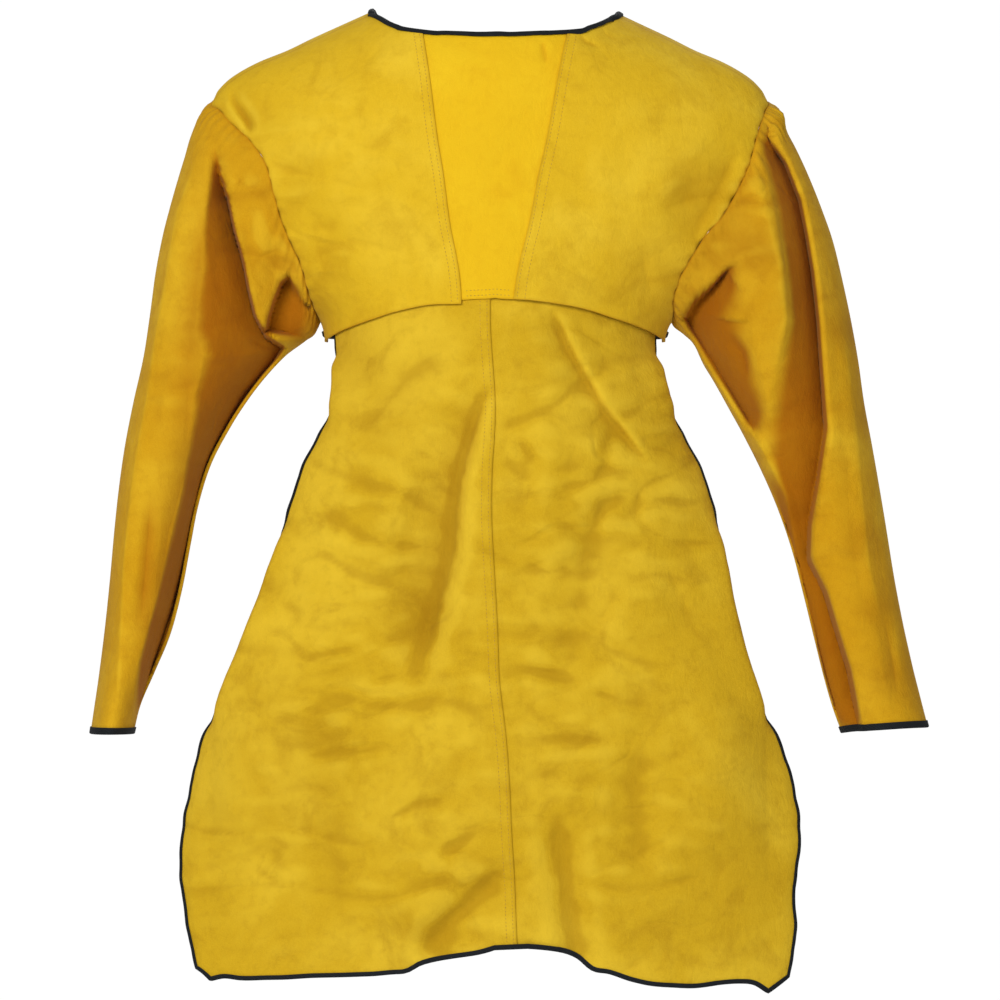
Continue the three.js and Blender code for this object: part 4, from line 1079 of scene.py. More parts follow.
class Tailor:
    """Lays the panels on the body, with their folds, lifted edges and gathered seams."""

    LEVELS = {"apron_right": -2, "apron_left": -1, "chest_centre": 0, "chest_panel_left": 1,
              "chest_panel_right": 1, "back_yoke": 1}

    def __init__(self, cut: Cut, body: Body) -> None:
        """Keeps the sizes and the body."""
        self.cut = cut
        self.body = body

    def relief(self, x: Array, z: Array, folds: Sequence[Fold], seed: float,
               worn: Array) -> tuple[Array, dict[str, Array]]:
        """How far folds and unevenness press the leather in.

        Args:
            x: places across, seen from the front.
            z: their heights.
            folds: the named folds.
            seed: which pattern of unevenness.
            worn: how crumpled the leather is at each place.

        Returns:
            The depth at each place, and the numbers that the finish reads of it.
        """
        planes, creases, shade = np.zeros(x.shape), np.zeros(x.shape), np.zeros(x.shape)
        for fold in folds:
            pressed = fold.depth_at(x, z)
            # Painted shade grows with each fold's depth.
            shade += pressed * fold.painted_shade
            pressed_part = planes if fold.flat else creases
            pressed_part += pressed
        swell = sum(height * ripple(x, z, size, seed + shift) for height, size, shift in SWELLS)
        soft = sum(height * ripple(a * x + b * z, z, size, seed + shift) for height, a, b, size, shift in CRUMPLES)
        height, squash, size, shift = CREASE_NET
        creases += swell + worn * (height * crumple(x, squash * z, size, seed + shift) + soft)
        # Painted shade in hollows and painted highlight on ridges: how far the creases lie below or above their
        # surroundings.
        hollow = np.clip((creases - local_mean(creases, CREASE_SHADE_REACH)) / CREASE_SHADE_DEPTH, -1, 1)
        return planes + creases, {"fold": shade, "hollow": hollow, "worn": worn}

    def roll(self, node: str, points: Array) -> None:
        """Rolls an apron's free side back where its tape is out of sight, keeping the outline.

        Args:
            node: which apron half.
            points: its grid, which is changed.
        """
        side = Side[node.split("_")[1].upper()]
        far = distance_in(points, Edge.LEFT if side is Side.LEFT else Edge.RIGHT)
        z = points[..., 2]
        below = smooth((-z - ROLL.start) / ROLL.ease)
        rolled = ROLL.share(z) * below
        radius, length = ROLL.radius, ROLL.length
        turn = np.maximum(length - far, 0) / radius
        stretch = (length - radius) * smooth(1 - (far - length) / ROLL.stretch)
        out = stretch + np.where(far < length, radius * np.sin(turn) - (length - far), 0)
        wave = ROLL.wave * below * ripple(z, z, ROLL.wave_size, 61.0) * np.exp(-far / ROLL.wave_reach)
        points[..., 0] += side.value * (rolled * out + wave)
        droop = ROLL.droop * below * np.clip(1 - far / ROLL.droop_reach, 0, 1) ** 2
        points[..., 1] += rolled * radius * (1 - np.cos(turn)) + droop

    def lay(self, node: str, places: Array) -> Leather:
        """Lays a panel of the body.

        Args:
            node: the panel's name among the solids.
            places: its grid of places.

        Returns:
            The panel, with its points and the numbers that its finish reads.
        """
        turn, wrap = places[..., 0], places[..., 1]
        behind = node == "back_yoke"
        points = self.body.point(turn, wrap)
        normals = self.body.normal(turn, wrap)
        points = points + normals * (self.LEVELS[node] * self.cut.layer + self.cut.wall)
        x, z = points[..., 0], points[..., 2]
        folds = BACK_FOLDS if behind else APRON_FOLDS + CHEST_FOLDS
        worn = np.full(x.shape, BACK_WEAR) if behind else wear(x, z)
        press, marks = self.relief(x, z, folds, BACK_SEED if behind else FRONT_SEED, worn)
        upright = smooth((np.abs(wrap) - FOLDS_FROM) / FOLDS_OVER)
        shift = press * upright
        points[..., 1] += -shift if behind else shift
        if node.startswith("apron"):
            self.roll(node, points)
        if node == "chest_panel_left":
            across = distance_in(points, Edge.LEFT) / CORNER_ACROSS
            up = distance_in(points, Edge.FOOT) / CORNER_UP
            points[..., 2] -= CORNER_DROP * np.exp(-(across**2 + up**2))
        leather = Leather(node, points)
        leather.values = self._values(leather, marks, upright)
        self._seams(leather, normals)
        return leather

    def _values(self, leather: Leather, marks: dict[str, Array], share: Array) -> dict[str, Array]:
        """The numbers that the finish reads.

        Args:
            leather: the panel.
            marks: what the relief says.
            share: how much of it shows at each point.

        Returns:
            A number for each point by its name: painted shade in folds, painted shade in hollows and painted
                highlight on ridges, darkening towards the edges, stains and painted shade in patches, and how
                crumpled it is.
        """
        edges = [Edge.TOP, Edge.FOOT] if leather.closed else list(Edge)
        near = np.minimum.reduce([distance_in(leather.points, edge) for edge in edges])
        x, y, z = np.moveaxis(leather.points, -1, 0)
        # Stains and painted shade in patches, on the front only.
        soil = sum(patch.at(x, z) for patch in SOIL_AND_SHADE_PATCHES) * (y < 0)
        # Painted shade in folds, full at one depth for sleeves and another for flat panels.
        fold = marks["fold"] * share / (SLEEVE_SHADE if leather.closed else PANEL_SHADE)
        return {"fold": np.clip(fold, -0.5, 1.4), "hollow": marks["hollow"] * share,
                "rim": np.exp(-near / RIM_WIDTH), "soil": soil, "worn": marks["worn"]}

    def _seams(self, leather: Leather, normals: Array) -> None:
        """Draws the armhole edges in to their seam and gathers the leather along them.

        Args:
            leather: the panel, whose points are changed.
            normals: its outward directions.
        """
        sides = {"chest_panel_left": [Edge.RIGHT], "chest_panel_right": [Edge.RIGHT],
                 "back_yoke": [Edge.LEFT, Edge.RIGHT]}
        for edge in sides.get(leather.node, []):
            far = distance_in(leather.points, edge)
            z = leather.points[..., 2]
            phase = z / GATHER.pitch + GATHER.jitter * ripple(z, z, GATHER.size, 5.0)
            gather = GATHER.height * np.sin(phase) * np.exp(-far / GATHER.reach)
            leather.points += normals * (gather - GATHER.sunk * np.exp(-far / GATHER.sunk_reach))[..., None]

    def sleeve(self, side: Side, pattern: Pattern) -> Leather:
        """A sleeve: a tube from its armhole to its cuff.

        Args:
            side: which sleeve.
            pattern: the pattern that holds the armhole's seam.

        Returns:
            The sleeve, with its points and the numbers that its finish reads.
        """
        points, angle = self._tube(side, pattern)
        x, z = points[..., 0], points[..., 2]
        facing = np.sin(angle)[None]
        press, marks = self.relief(x, z, SLEEVE_FOLDS[side], SLEEVE_SEED * side.value, wear(x, z))
        down = distance_in(points, Edge.TOP)
        start_share = smooth(down / ARM.head_ease)
        forward, rearward = (smooth(np.maximum(way * facing, 0) / ARM.turn_ease) * start_share for way in (1, -1))
        swell = 3.0 * ripple(x, z, 80, 40.0 * side.value) + 1.2 * ripple(x, z, 35, 44.0)
        points[..., 1] += press * forward - swell * rearward
        leather = Leather(f"sleeve_{side.name.lower()}", points, True)
        leather.values = self._values(leather, marks, forward)
        out = outward(points)
        points += out * self._gathered(HEADS[side], x, z, angle, down)[..., None]
        points[..., 2] += HEADS[side].rise * smooth((down - ARM.cuff) / ARM.cuff_ease)
        return leather

    def _gathered(self, head: Head, x: Array, z: Array, angle: Array, down: Array) -> Array:
        """How far a sleeve's leather stands out at its gathered head and above the elbow.

        Args:
            head: the head's sizes.
            x: places across, seen from the front.
            z: their heights.
            angle: the angle of each point round its ring.
            down: how far each point lies from the armhole.

        Returns:
            The lift at each point.
        """
        count = np.arange(len(angle)) * 12 / self.cut.finer
        phase = count * head.pleat + head.pleat_jitter * ripple(z, x, head.pleat_size, 9.0)
        gather = head.gather * np.sin(phase) * np.exp(-down / head.reach)
        crown = np.exp(-((np.minimum(angle, 2 * math.pi - angle) / head.crown) ** 2))[None]
        belt = np.exp(-(((down - head.middle) / head.width) ** 2))
        folds = head.puff * belt * crown + head.tuck * np.sin(count * head.tuck_pleat) * belt * crown
        stand = ARM.stand * smooth(down / ARM.stand_ease) * np.clip(1 - (down - ARM.stand_end) / ARM.stand_fade, 0, 1)
        return gather * smooth(down / head.pleat_ease) + stand + folds

    def _tube(self, side: Side, pattern: Pattern) -> tuple[Array, Array]:
        """The smooth tube of a sleeve.

        Args:
            side: which sleeve.
            pattern: the pattern that holds the armhole's seam.

        Returns:
            Its points, ring by ring from the armhole, and the angle of each point round a ring.
        """
        cut, table = self.cut, SLEEVES[side]
        front, behind = pattern.armhole(side, False), pattern.armhole(side, True)
        ring = np.concatenate([edge_line(front), edge_line(behind)[1:-1][::-1]])
        normals = self.body.normal(ring[:, 0], ring[:, 1])
        start = self.body.point(ring[:, 0], ring[:, 1]) + normals * (cut.layer + cut.wall - SEAM_SUNK)
        front_cells, back_cells = cut.front_ring * cut.finer, cut.back_ring * cut.finer
        k = np.arange(front_cells + back_cells)
        angle = math.pi * np.where(k < front_cells, k / front_cells, 1 + (k - front_cells) / back_cells)
        rows = len(table.columns["out"])
        table.columns["station"] = (np.arange(rows) + 1) / rows
        rings = [start, *(self._section(side, table, at, angle) for at in np.linspace(1 / rows, 1, 17))]
        steps = np.linspace(0, len(rings) - 1, (len(rings) - 1) * cut.finer + 1)
        return through_rows(np.array(rings), steps), angle

    def _section(self, side: Side, table: Table, at: float, angle: Array) -> Array:
        """One ring of a sleeve.

        Args:
            side: which sleeve.
            table: its table.
            at: the ring's station, from 0 at the armhole to 1 at the cuff.
            angle: the angles of its points.

        Returns:
            The ring's points.
        """
        cut = self.cut

        def read(column: str) -> float:
            """A column of the sleeve's table at the station."""
            return float(table.read("station", np.array(at), column))

        spread = cut.spread_left if side is Side.LEFT else cut.spread_right
        inside = cut.inside_left if side is Side.LEFT else cut.inside_right
        outer_x = cut.shoulder(side) + read("out") * spread
        outer_z = -cut.shoulder_drop - read("outDown") * cut.sleeve_drop
        inner_x = cut.chest_half + cut.layer * 2 + read("in") * inside
        cuff = cut.shoulder_drop + cut.sleeve_drop
        inner_z = -cut.underarm_drop - (cuff - cut.underarm_drop) * read("inDown")
        across = (1 - np.cos(angle)) / 2
        half = cut.arm_depth * np.where(angle < math.pi, read("front"), read("back"))
        y = -half * np.sin(angle) - cut.arm_forward * read("swing")
        x = side.value * (outer_x + (inner_x - outer_x) * across)
        return np.stack([x, y, outer_z + (inner_z - outer_z) * across], axis=-1)


class Value:
    """A shader socket that can be used in Python expressions."""

    def __init__(self, finish: "Finish", socket: bpy.types.NodeSocket) -> None:
        """Keeps the socket and the finish that it belongs to."""
        self.finish = finish
        self.socket = socket

    def _maths(self, operation: str, *values: "Value | float") -> "Value":
        """Adds a Math node."""
        return self.finish.node("ShaderNodeMath", {"operation": operation}, *values)

    def __add__(self, other: "Value | float") -> "Value":
        """The sum."""
        return self._maths("ADD", self, other)

    __radd__ = __add__

    def __sub__(self, other: "Value | float") -> "Value":
        """The difference."""
        return self._maths("SUBTRACT", self, other)

    def __mul__(self, other: "Value | float") -> "Value":
        """The product."""
        return self._maths("MULTIPLY", self, other)

    __rmul__ = __mul__

    def __abs__(self) -> "Value":
        """The size without the sign."""
        return self._maths("ABSOLUTE", self)

    def between(self, low: float, high: float) -> "Value":
        """A smooth step from 0 at low to 1 at high."""
        return self.finish.node("ShaderNodeMapRange", {"interpolation_type": "SMOOTHSTEP"}, self, low, high, 0.0, 1.0)


Colour = tuple[float, float, float]


class Finish:
    """A material made of nodes, with a method for each kind of node that it needs."""

    def __init__(self, name: str) -> None:
        """Starts the material with its shader and object coordinates.

        Args:
            name: the material's name.
        """
        self.material = bpy.data.materials.new(name)
        self.material.use_nodes = True
        self.tree = self.material.node_tree
        self.shader = self.tree.nodes["Principled BSDF"]
        self.coordinates = self.node("ShaderNodeTexCoord", {}, out="Object")

    def node(self, kind: str, settings: dict[str, object], *values: object, out: str | int = 0,
             **named: object) -> Value:
        """Adds one node.

        Args:
            kind: the node's type.
            settings: its settings, set before its sockets.
            values: the values or links of its sockets in order.
            out: the output to return.
            named: the values or links of its sockets by name, with spaces as underscores.

        Returns:
            The output.
        """
        node = self.tree.nodes.new(kind)
        for key, value in settings.items():
            setattr(node, key, value)
        for key, value in [*enumerate(values), *[(name.replace("_", " "), v) for name, v in named.items()]]:
            self.feed(node.inputs[key], value)
        return Value(self, node.outputs[out])

    def feed(self, socket: bpy.types.NodeSocket, value: object) -> None:
        """Links a value to a socket, or sets it there.

        Args:
            socket: the socket.
            value: a shader value or a plain one.
        """
        if isinstance(value, Value):
            self.tree.links.new(value.socket, socket)
        else:
            socket.default_value = value

    def noise(self, scale: float, detail: float = 3.0, rough: float = 0.55, bend: float = 0.0,
              at: Value | None = None) -> Value:
        """Noise between 0 and 1, with its scale in swells for each metre."""
        return self.node("ShaderNodeTexNoise", {}, Vector=at or self.coordinates, Scale=scale, Detail=detail,
                         Roughness=rough, Distortion=bend)

    def mix(self, factor: "Value | float", a: "Value | Colour", b: "Value | Colour") -> Value:
        """Mixes two colours.

        Args:
            factor: how much of the second one there is.
            a: the first colour.
            b: the second colour.

        Returns:
            The mixed colour.
        """
        node = self.tree.nodes.new("ShaderNodeMix")
        node.data_type = "RGBA"
        for key, value in ((0, factor), (6, a), (7, b)):
            self.feed(node.inputs[key], (*value, 1.0) if isinstance(value, tuple) else value)
        return Value(self, node.outputs[2])

    def attribute(self, name: str) -> Value:
        """A number that the piece carries at each of its points."""
        return self.node("ShaderNodeAttribute", {"attribute_name": name}, out="Fac")

    def finish(self, **named: object) -> bpy.types.Material:
        """Feeds the shader's inputs by name, with spaces as underscores, and gives the material."""
        for name, value in named.items():
            self.feed(self.shader.inputs[name.replace("_", " ")], value)
        return self.material

    def bump(self, height: Value, strength: float, depth: float, under: Value | None = None) -> Value:
        """Turns a height into a direction, on top of another one."""
        named = {"Normal": under} if under else {}
        return self.node("ShaderNodeBump", {}, Height=height, Strength=strength, Distance=depth, **named)


@dataclass(frozen=True)
class SplitLeather:
    """Dyed split leather: a short nap and cloudy dye, with painted shade in folds, creases and hollows, a painted
    highlight on ridges, patches of stains and painted shade, and darker edges.
    """

    name: str
    dye: Colour
    pale: Colour
    deep: Colour
    # Colour of the painted shade in folds, also used to darken the edges.
    recess_shade: Colour
    cloud: float = 0.5
    shift: float = 0.0

    def build(self) -> bpy.types.Material:
        """Builds the material.

        Returns:
            The material.
        """
        finish = Finish(self.name)
        place = finish.node("ShaderNodeMapping", {}, Vector=finish.coordinates, Location=(self.shift, 0.0, 0.0))
        cloud = finish.noise(7.0, 4.0, 0.6, 0.4, place)
        patch = finish.noise(21.0, 4.0, 0.62, 0.6, place)
        mottle = finish.noise(95.0, 3.0, 0.6, 0.0, place)
        nap = finish.noise(900.0, 2.0, 0.6)
        tone = finish.mix(cloud.between(0.40, 0.66) * self.cloud, self.dye, self.pale)
        tone = finish.mix(patch.between(0.50, 0.72) * (self.cloud * 0.8), tone, self.deep)
        tone = finish.mix(mottle.between(0.45, 0.75) * 0.22, tone, self.deep)
        tone = finish.mix(nap.between(0.30, 0.72) * 0.20, tone, self.pale)
        fold = finish.attribute("fold")
        # Darker patches: partly stains, partly painted shade.
        soil = finish.attribute("soil") * (patch * 0.9 + 0.3)
        creased = finish.node("ShaderNodeMapping", {}, Vector=place, Scale=(0.75, 0.75, 1.35))
        # Thin crease lines where the leather is crumpled: bumped, and darkened with painted shade.
        line = abs(finish.noise(15.0, 1.5, 0.45, 0.0, creased) - 0.5).between(0.05, 0.0)
        line = line * finish.attribute("worn").between(0.25, 1.2) * cloud.between(0.62, 0.42)
        tone = finish.mix(soil.between(0.0, 1.0) * 0.6, tone, self.deep)
        # Painted shade along the crease lines.
        tone = finish.mix(line * 0.14, tone, self.deep)
        # Painted shade in the hollows of the creases and painted highlight on their ridges.
        hollow = finish.attribute("hollow")
        tone = finish.mix(hollow.between(0.05, 1.0) * 0.42, tone, self.deep)
        tone = finish.mix(hollow.between(-0.05, -1.0) * 0.38, tone, self.pale)
        # Painted shade: folds are tinted towards the dark orange-brown of a shaded recess, by their depth.
        tone = finish.mix(fold.between(0.03, 0.45) * (patch * 0.25 + 0.78), tone, self.recess_shade)
        # Darker towards each panel's edges, in the colour of the painted recess shade.
        rim = finish.attribute("rim")
        tone = finish.mix(rim.between(0.25, 1.0) * 0.30, tone, self.recess_shade)
        rough = nap * 0.12 + 0.84
        stretched = finish.node("ShaderNodeMapping", {}, Vector=finish.coordinates, Scale=(1.0, 1.0, 0.55))
        grain = finish.bump(finish.noise(130.0, 4.0, 0.62, 0.5, stretched), 0.30, 0.0030)
        pebble = finish.bump(mottle, 0.22, 0.0022, grain)
        pebble = finish.bump(line, 0.35, -0.0030, pebble)
        return finish.finish(Base_Color=tone, Roughness=rough, Specular_IOR_Level=0.10, Sheen_Weight=0.05,
                             Sheen_Roughness=0.45, Sheen_Tint=(1.0, 0.86, 0.55, 1.0),
                             Normal=finish.bump(nap, 0.35, 0.0007, pebble))


@dataclass(frozen=True)
class WovenTape:
    """Black woven binding tape with fine ribs."""

    name: str
    dark: Colour = (0.0022, 0.0034, 0.0045)
    worn: Colour = (0.011, 0.014, 0.018)

    def build(self) -> bpy.types.Material:
        """Builds the material.

        Returns:
            The material.
        """
        finish = Finish(self.name)
        rib = finish.node("ShaderNodeTexWave", {"wave_type": "BANDS", "bands_direction": "DIAGONAL"},
                          Vector=finish.coordinates, Scale=230.0, Distortion=1.5, Detail=1.0, out="Fac")
        fuzz = finish.noise(700.0, 2.0)
        rubbed = finish.noise(40.0, 3.0)
        tone = finish.mix(rib * 0.35 + fuzz * 0.25, self.dark, self.worn)
        tone = finish.mix(rubbed.between(0.55, 0.75) * 0.4, tone, self.worn)
        return finish.finish(Base_Color=tone, Roughness=fuzz * 0.15 + 0.75, Specular_IOR_Level=0.25,
                             Normal=finish.bump(rib + fuzz * 0.5, 0.5, 0.0006))


@dataclass(frozen=True)
class Thread:
    """Twisted sewing thread."""

    name: str
    tone: Colour = (0.52, 0.30, 0.020)
    shade: Colour = (0.30, 0.155, 0.008)

    def build(self) -> bpy.types.Material:
        """Builds the material.

        Returns:
            The material.
        """
        finish = Finish(self.name)
        twist = finish.noise(1500.0, 2.0)
        tone = finish.mix(twist.between(0.35, 0.7), self.tone, self.shade)
        return finish.finish(Base_Color=tone, Roughness=twist * 0.2 + 0.55, Normal=finish.bump(twist, 0.4, 0.0003))


@dataclass(frozen=True)
class PaleFloor:
    """The plain pale floor."""

    name: str

    def build(self) -> bpy.types.Material:
        """Builds the material.

        Returns:
            The material.
        """
        finish = Finish(self.name)
        dust = finish.noise(3.0, 3.0)
        return finish.finish(Base_Color=finish.mix(dust, (0.80, 0.80, 0.80), (0.84, 0.84, 0.84)), Roughness=0.9)


@dataclass(frozen=True)
class Glow:
    """The evenly lit backdrop."""

    name: str

    def build(self) -> bpy.types.Material:
        """Builds the material.

        Returns:
            The material.
        """
        black, white = (0.0, 0.0, 0.0, 1.0), (1.0, 1.0, 1.0, 1.0)
        return Finish(self.name).finish(Base_Color=black, Emission_Color=white, Emission_Strength=1.0)


STITCH_RISE = 0.05


def stitch_row(shape: bmesh.types.BMesh, line: Array, out: Array, pitch: float = 3.6, length: float = 2.0,
               width: float = 0.7) -> int:
    """Adds a row of stitches that lie half sunk in the leather.

    Args:
        shape: the bmesh that takes them.
        line: points along the row, in millimetres.
        out: the outward directions there.
        pitch: the distance from one stitch to the next.
        length: a stitch's length.
        width: the thread's width.

    Returns:
        How many stitches it added.
    """
    far = lengths_along(line)
    middles = np.arange(pitch, far[-1] - pitch / 2, pitch)

    def read(grid: Array, at: float) -> Array:
        """The row of a grid at a length along the line."""
        return np.array([np.interp(at, far, grid[:, k]) for k in range(3)])

    for middle in middles:
        start, end = read(line, middle - length / 2), read(line, middle + length / 2)
        up = Vector(read(out, middle)).normalized()
        along = Vector(end - start).normalized()
        aside = up.cross(along).normalized()
        centre = Vector((start + end) / 2) + up * STITCH_RISE
        turn = Matrix((along * length / 2, aside * width / 2, up * width / 2)).transposed().to_4x4()
        place = Matrix.Scale(MM, 4) @ Matrix.Translation(centre) @ turn @ Matrix.Rotation(QUARTER, 4, "Y")
        bmesh.ops.create_uvsphere(shape, u_segments=6, v_segments=4, radius=1.0, matrix=place)
    return len(middles)


@dataclass(frozen=True)
class Binding:
    """Binding tape folded round an edge."""

    width: float = 4.2
    ease: float = 0.4
    wall: float = 0.8

    def points(self, line: Array, out: Array, into: Array, above: Array, below: Array, leg: Array) -> Array:
        """The grid of the tape's outer face, one row for each point of the edge.

        Args:
            line: points of the edge, on the outer face of the leather.
            out: the outward directions there.
            into: the directions from the edge into the panel.
            above: how far other leather stands over that face.
            below: how far it reaches under the wall.
            leg: the width of the tape's front leg.

        Returns:
            The grid in millimetres.
        """
        front, back = above + self.ease, -(below + self.ease)
        middle, half = (front + back) / 2, (front - back) / 2
        turns = np.linspace(QUARTER, -QUARTER, 7)
        columns = [(leg, front), (leg / 2, front)]
        columns += [(-self.ease - half * 0.8 * math.cos(t), middle + half * math.sin(t)) for t in turns]
        columns += [(np.full_like(leg, self.width / 2), back), (np.full_like(leg, self.width), back)]
        rows = [line + into * i[:, None] + out * o[:, None] if np.ndim(i) else line + into * i + out * o[:, None]
                for i, o in columns]
        return np.stack(rows, axis=1)


def into_panel(line: Array, out: Array, inside: Array, closed: bool) -> Array:
    """The directions across a line of edge points, into the panel.

    Args:
        line: the edge's points.
        out: the outward directions there.
        inside: points inside the panel, one for each of them.
        closed: whether the line closes on itself.

    Returns:
        The directions, one long.
    """
    ahead = np.roll(line, -1, axis=0) - np.roll(line, 1, axis=0) if closed else np.gradient(line, axis=0)
    into = unit(np.cross(out, ahead))
    return into * np.sign(np.sum(into * (inside - line), axis=1, keepdims=True))


@dataclass
class Rim:
    """An edge to bind: its points, the outward directions there and points inside the panel."""

    line: Array
    out: Array
    inner: Array
    closed: bool = False
    above: float = 0.0
    below: float | Array = CUT.wall
    leg: Array | None = None


@dataclass
class Garment:
    """The whole garment: leather panels, binding tape and stitching."""

    cut: Cut = CUT
    body: Body = BODY_SURFACE
    panels: dict[str, Leather] = field(default_factory=dict)
    pieces: dict[str, bpy.types.Object] = field(default_factory=dict)
    flats: dict[str, tuple[float, float, float]] = field(default_factory=lambda: {
        "chest_panel_left": (0.245, 0.335, 0.056), "chest_panel_right": (0.250, 0.335, 0.058),
        "chest_centre": (0.165, 0.262, 0.030), "back_yoke": (0.560, 0.330, 0.150),
        "apron_left": (0.330, 0.660, 0.165), "apron_right": (0.325, 0.670, 0.168),
        "sleeve_left": (0.460, 0.620, 0.200), "sleeve_right": (0.460, 0.620, 0.200)})

    def build(self) -> None:
        """Builds and dresses every piece."""
        self._lay_panels()
        self._make_leather()
        self._sew()
        self._bind()

    def _lay_panels(self) -> None:
        """Lays all the panels."""
        pattern, tailor = Pattern(self.cut, self.body), Tailor(self.cut, self.body)
        grids = {"apron_right": pattern.apron(Side.RIGHT), "apron_left": pattern.apron(Side.LEFT),
                 "chest_centre": pattern.insert(), "chest_panel_left": pattern.chest(Side.LEFT),
                 "chest_panel_right": pattern.chest(Side.RIGHT), "back_yoke": pattern.back()}
        for node, places in grids.items():
            self.panels[node] = tailor.lay(node, places)
        for side in Side:
            leather = tailor.sleeve(side, pattern)
            self.panels[leather.node] = leather

    def _make_leather(self) -> None:
        """Makes the leather pieces in their dyes."""
        chest = dict(dye=(0.63, 0.385, 0.010), pale=(0.77, 0.53, 0.036), deep=(0.45, 0.240, 0.004),
                     recess_shade=(0.36, 0.15, 0.002))
        apron = dict(dye=(0.54, 0.322, 0.008), pale=(0.74, 0.50, 0.030), deep=(0.35, 0.180, 0.003),
                     recess_shade=(0.30, 0.145, 0.003))
        sleeve = dict(dye=(0.53, 0.265, 0.004), pale=(0.71, 0.45, 0.020), deep=(0.37, 0.155, 0.002),
                      recess_shade=(0.34, 0.105, 0.001))
        insert = dict(chest, dye=(0.71, 0.425, 0.008), pale=(0.76, 0.50, 0.014), deep=(0.62, 0.32, 0.005))
        finishes = {"chest": SplitLeather("chest_leather", **chest),
                    "insert": SplitLeather("insert_leather", **insert, cloud=0.5, shift=2.0),
                    "apron": SplitLeather("apron_leather", **apron, cloud=0.55, shift=5.0),
                    "sleeve": SplitLeather("sleeve_leather", **sleeve, cloud=0.5, shift=9.0)}
        built = {key: finish.build() for key, finish in finishes.items()}
        kinds = {"chest_centre": "insert", "apron_left": "apron", "apron_right": "apron",
                 "sleeve_left": "sleeve", "sleeve_right": "sleeve"}
        for node, leather in self.panels.items():
            points, values = leather.points, leather.values
            behind = 1.0 if node == "back_yoke" else -1.0
            away = outward(points) if leather.closed else np.array([0.0, behind, 0.0])
            if np.sum(grid_normals(points, leather.closed) * away) < 0:
                points, values = points[:, ::-1], {key: value[:, ::-1] for key, value in values.items()}
            finish = built[kinds.get(node, "chest")]
            piece = sheet_piece(f"{node}_leather", points, values, finish, self.cut.wall, leather.closed)
            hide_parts(node)
            leather.piece = self.pieces[piece.name] = piece
            LOG.info("%s: %d faces", piece.name, len(piece.data.polygons))

    def _sew(self) -> None:
        """Sews the double rows beside the lapped edges and along the seams."""
        thread = Thread("yellow_thread").build()
        rows = {"chest_panel_left": [(Edge.LEFT, 3.5), (Edge.LEFT, 9.5)],
                "chest_panel_right": [(Edge.LEFT, 3.0), (Edge.LEFT, 10.5)],
                "apron_left": [(Edge.RIGHT, 3.0), (Edge.RIGHT, 9.5)],
                "chest_centre": [(Edge.FOOT, 3.5), (Edge.FOOT, 8.5)]}
        for node, lines in rows.items():
            shape = bmesh.new()
            leather = self.panels[node]
            count = 0
            for edge, inset in lines:
                line, out = leather.edge(edge, inset)
                out = out * -np.sign(out[:, 1:2])
                if node == "chest_centre":
                    line, out = line[3:-3], out[3:-3]
                count += stitch_row(shape, line, out)
            piece = new_piece(f"{node}_stitches", shape, thread)
            self.pieces[piece.name] = piece
            LOG.info("%s: %d stitches", piece.name, count)

    def _bind(self) -> None:
        """Folds the binding tape round the free edges."""
        tape = WovenTape("black_tape_weave").build()
        narrow, wide = Binding(2.8), Binding(5.0)
        for side in Side:
            name = side.name.lower()
            points = self.panels[f"sleeve_{name}"].points
            rim = Rim(points[-1], outward(points)[-1], points[-3], closed=True)
            self._fold_tape(f"cuff_binding_{name}", rim, tape, wide)
        self._fold_tape("apron_binding", self._apron_rim(narrow), tape, narrow)
        back = self.panels["back_yoke"].points
        normal = grid_normals(back)[-1]
        self._fold_tape("back_binding", Rim(back[-1], normal * np.sign(normal[:, 1:2]), back[-5]), tape, narrow)
        self._fold_tape("neck_binding", self._neck_rim(), tape, narrow)

    def _apron_rim(self, binding: Binding) -> Rim:
        """The apron's edge, from under the chest down the left side, along the hem and up again.

        Args:
            binding: its binding.

        Returns:
            The edge, with a narrow front leg where its sides are rolled back.
        """
        left, right = self.panels["apron_left"].points, self.panels["apron_right"].points
        start, lap, rise_reach = 5, 6, 60

        def around(left: Array, right: Array, inset: int) -> Array:
            """The rows of both halves' grids so many cells inside the edge."""
            return np.concatenate([left[start:, inset], left[-1 - inset, 1:-lap], right[-1 - inset, lap:],
                                   right[-2:start:-1, -1 - inset]])

        line, inner = around(left, right, 0), around(left, right, 4)
        out = around(grid_normals(left), grid_normals(right), 0)
        seam = len(left) - start + left.shape[1] - lap - 1
        lift = self.cut.layer * smooth(1 - np.linalg.norm(line - line[seam], axis=1) / rise_reach)
        line = line + out * (lift * (np.arange(len(line)) >= seam))[:, None]
        leg = binding.width * (1 - 0.8 * ROLL.share(line[:, 2]))
        return Rim(line, out, inner, below=self.cut.wall + lift, leg=leg)

    def _neck_rim(self) -> Rim:
        """The neck opening's edge.

        Returns:
            The edge, evenly spaced, from the left chest piece round by the right to the back.
        """
        names = ("chest_panel_left", "chest_centre", "chest_panel_right", "back_yoke")
        left, insert, right, back = (self.panels[name].points for name in names)
        cells, seam, spots = 3 * self.cut.finer, 6 * self.cut.finer + 2, 180
        chest = slice(LAP_CELLS, LAP_CELLS + cells)

        def around(front: int, behind: int) -> Array:
            """The opening's points in a row of the front grids and one of the back's."""
            line = np.concatenate([left[front, chest][::-1], insert[front, LAP_CELLS:-LAP_CELLS],
                                   right[front, chest], back[behind, seam:-seam][::-1]])
            return curve_through(np.concatenate([line[::4], line[:1]]), spots)[:-1]

        line, inner = around(0, 0), around(5, 4)
        out = unit(np.cross(np.roll(line, -1, axis=0) - np.roll(line, 1, axis=0), inner - line))
        centre = np.array([0.0, 0.0, -60.0])
        out *= np.sign(np.sum(out * (line - centre), axis=1, keepdims=True))
        return Rim(line, out, inner, True, 1.2, self.cut.wall + self.cut.layer)

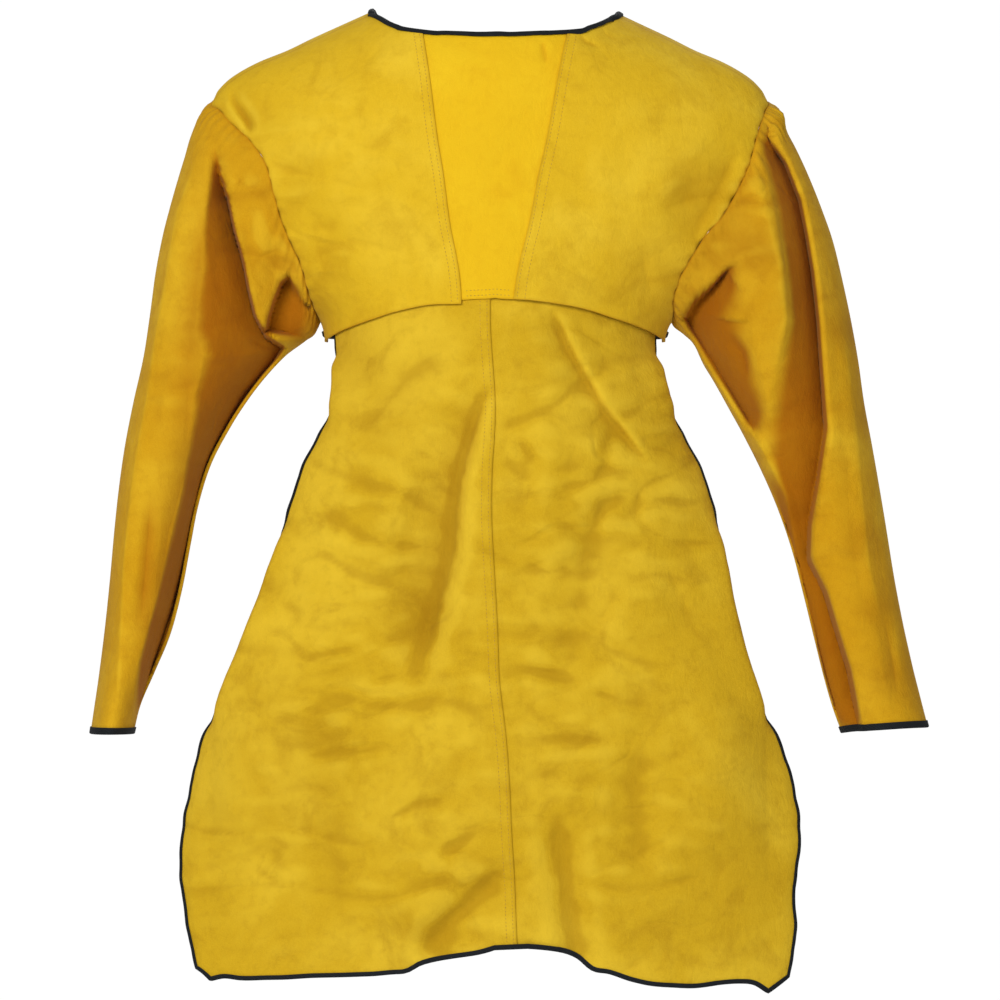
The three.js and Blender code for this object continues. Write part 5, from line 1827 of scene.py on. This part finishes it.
    def _fold_tape(self, node: str, rim: Rim, tape: bpy.types.Material, binding: Binding) -> None:
        """Makes one length of binding along an edge.

        Args:
            node: the solid that it stands for.
            rim: the edge.
            tape: the tape's material.
            binding: its sizes.
        """
        into = into_panel(rim.line, rim.out, rim.inner, rim.closed)
        size = len(rim.line)
        leg = np.full(size, binding.width) if rim.leg is None else rim.leg
        above, below = np.full(size, rim.above + binding.wall), np.full(size, rim.below)
        grid = binding.points(rim.line, rim.out, into, above, below, leg).swapaxes(0, 1)
        if np.dot(np.cross(grid[1, 0] - grid[0, 0], rim.line[1] - rim.line[0]), rim.out[0]) < 0:
            grid = grid[::-1]
        piece = sheet_piece(f"{node}_tape", grid, {}, tape, binding.wall, rim.closed)
        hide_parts(node)
        self.pieces[piece.name] = piece
        LOG.info("%s: %d faces", piece.name, len(piece.data.polygons))


LIGHTS = (("key_light", (-1.7, -4.6, 1.5), 1.5, 182), ("fill_light", (2.8, -3.6, 0.4), 2.6, 26),
          ("back_light", (0.6, 4.2, 1.8), 2.4, 70))


@dataclass(frozen=True)
class Studio:
    """The camera, the lights and the floor."""

    target: tuple[float, float, float] = (0.00475, -0.08, -0.4627)
    far: float = 12.0
    span: float = 0.95
    floor: float = -1.6
    lit: tuple[float, float, float] = (0.0, 0.0, -0.4)

    def build(self) -> None:
        """Builds the studio."""
        data = bpy.data.cameras.new("camera")
        data.lens = data.sensor_width * self.far / self.span
        data.clip_end = 90
        camera = add_object("camera", data)
        x, y, z = self.target
        camera.location = (x, y - self.far, z)
        camera.rotation_euler = (QUARTER, 0, 0)
        scene = bpy.context.scene
        scene.camera = camera
        for name, place, size, power in LIGHTS:
            self._light(name, place, size, power)
        world = bpy.data.worlds.new("studio")
        world.use_nodes = True
        background = world.node_tree.nodes["Background"]
        background.inputs["Color"].default_value = (1.0, 1.0, 1.0, 1.0)
        background.inputs["Strength"].default_value = 0.38
        scene.world = world
        scene.view_settings.view_transform = "Standard"
        self._ground("floor", PaleFloor("pale_floor").build(), 5.0, Matrix.Translation((0, 0, self.floor)))
        wall = Matrix.Translation((0, 40, 0)) @ Matrix.Rotation(QUARTER, 4, "X")
        self._ground("backdrop", Glow("white_backdrop").build(), 3.6, wall)

    def _light(self, name: str, place: tuple[float, float, float], size: float, power: float) -> None:
        """Adds a soft square light that looks at the garment.

        Args:
            name: its name.
            place: where it stands, in metres.
            size: how wide it is.
            power: its power in watts.
        """
        data = bpy.data.lights.new(name, "AREA")
        data.size, data.energy = size, power
        light = add_object(name, data)
        light.location = place
        light.rotation_euler = (Vector(self.lit) - Vector(place)).to_track_quat("-Z", "Y").to_euler()

    def _ground(self, name: str, finish: bpy.types.Material, radius: float, place: Matrix) -> None:
        """Adds a round floor or backdrop.

        Args:
            name: its name.
            finish: its material.
            radius: its radius in metres.
            place: where it lies.
        """
        shape = bmesh.new()
        bmesh.ops.create_circle(shape, cap_ends=True, segments=96, radius=radius, matrix=place)
        add_mesh(name, shape, finish)


def main() -> None:
    """Builds the studio and the garment, and logs how many points each piece has."""
    logging.basicConfig(level=logging.INFO, format="%(message)s")
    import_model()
    Studio().build()
    garment = Garment()
    garment.build()
    for name, piece in garment.pieces.items():
        LOG.info("built %s with %d points", name, len(piece.data.vertices))


if __name__ == "__main__":
    main()
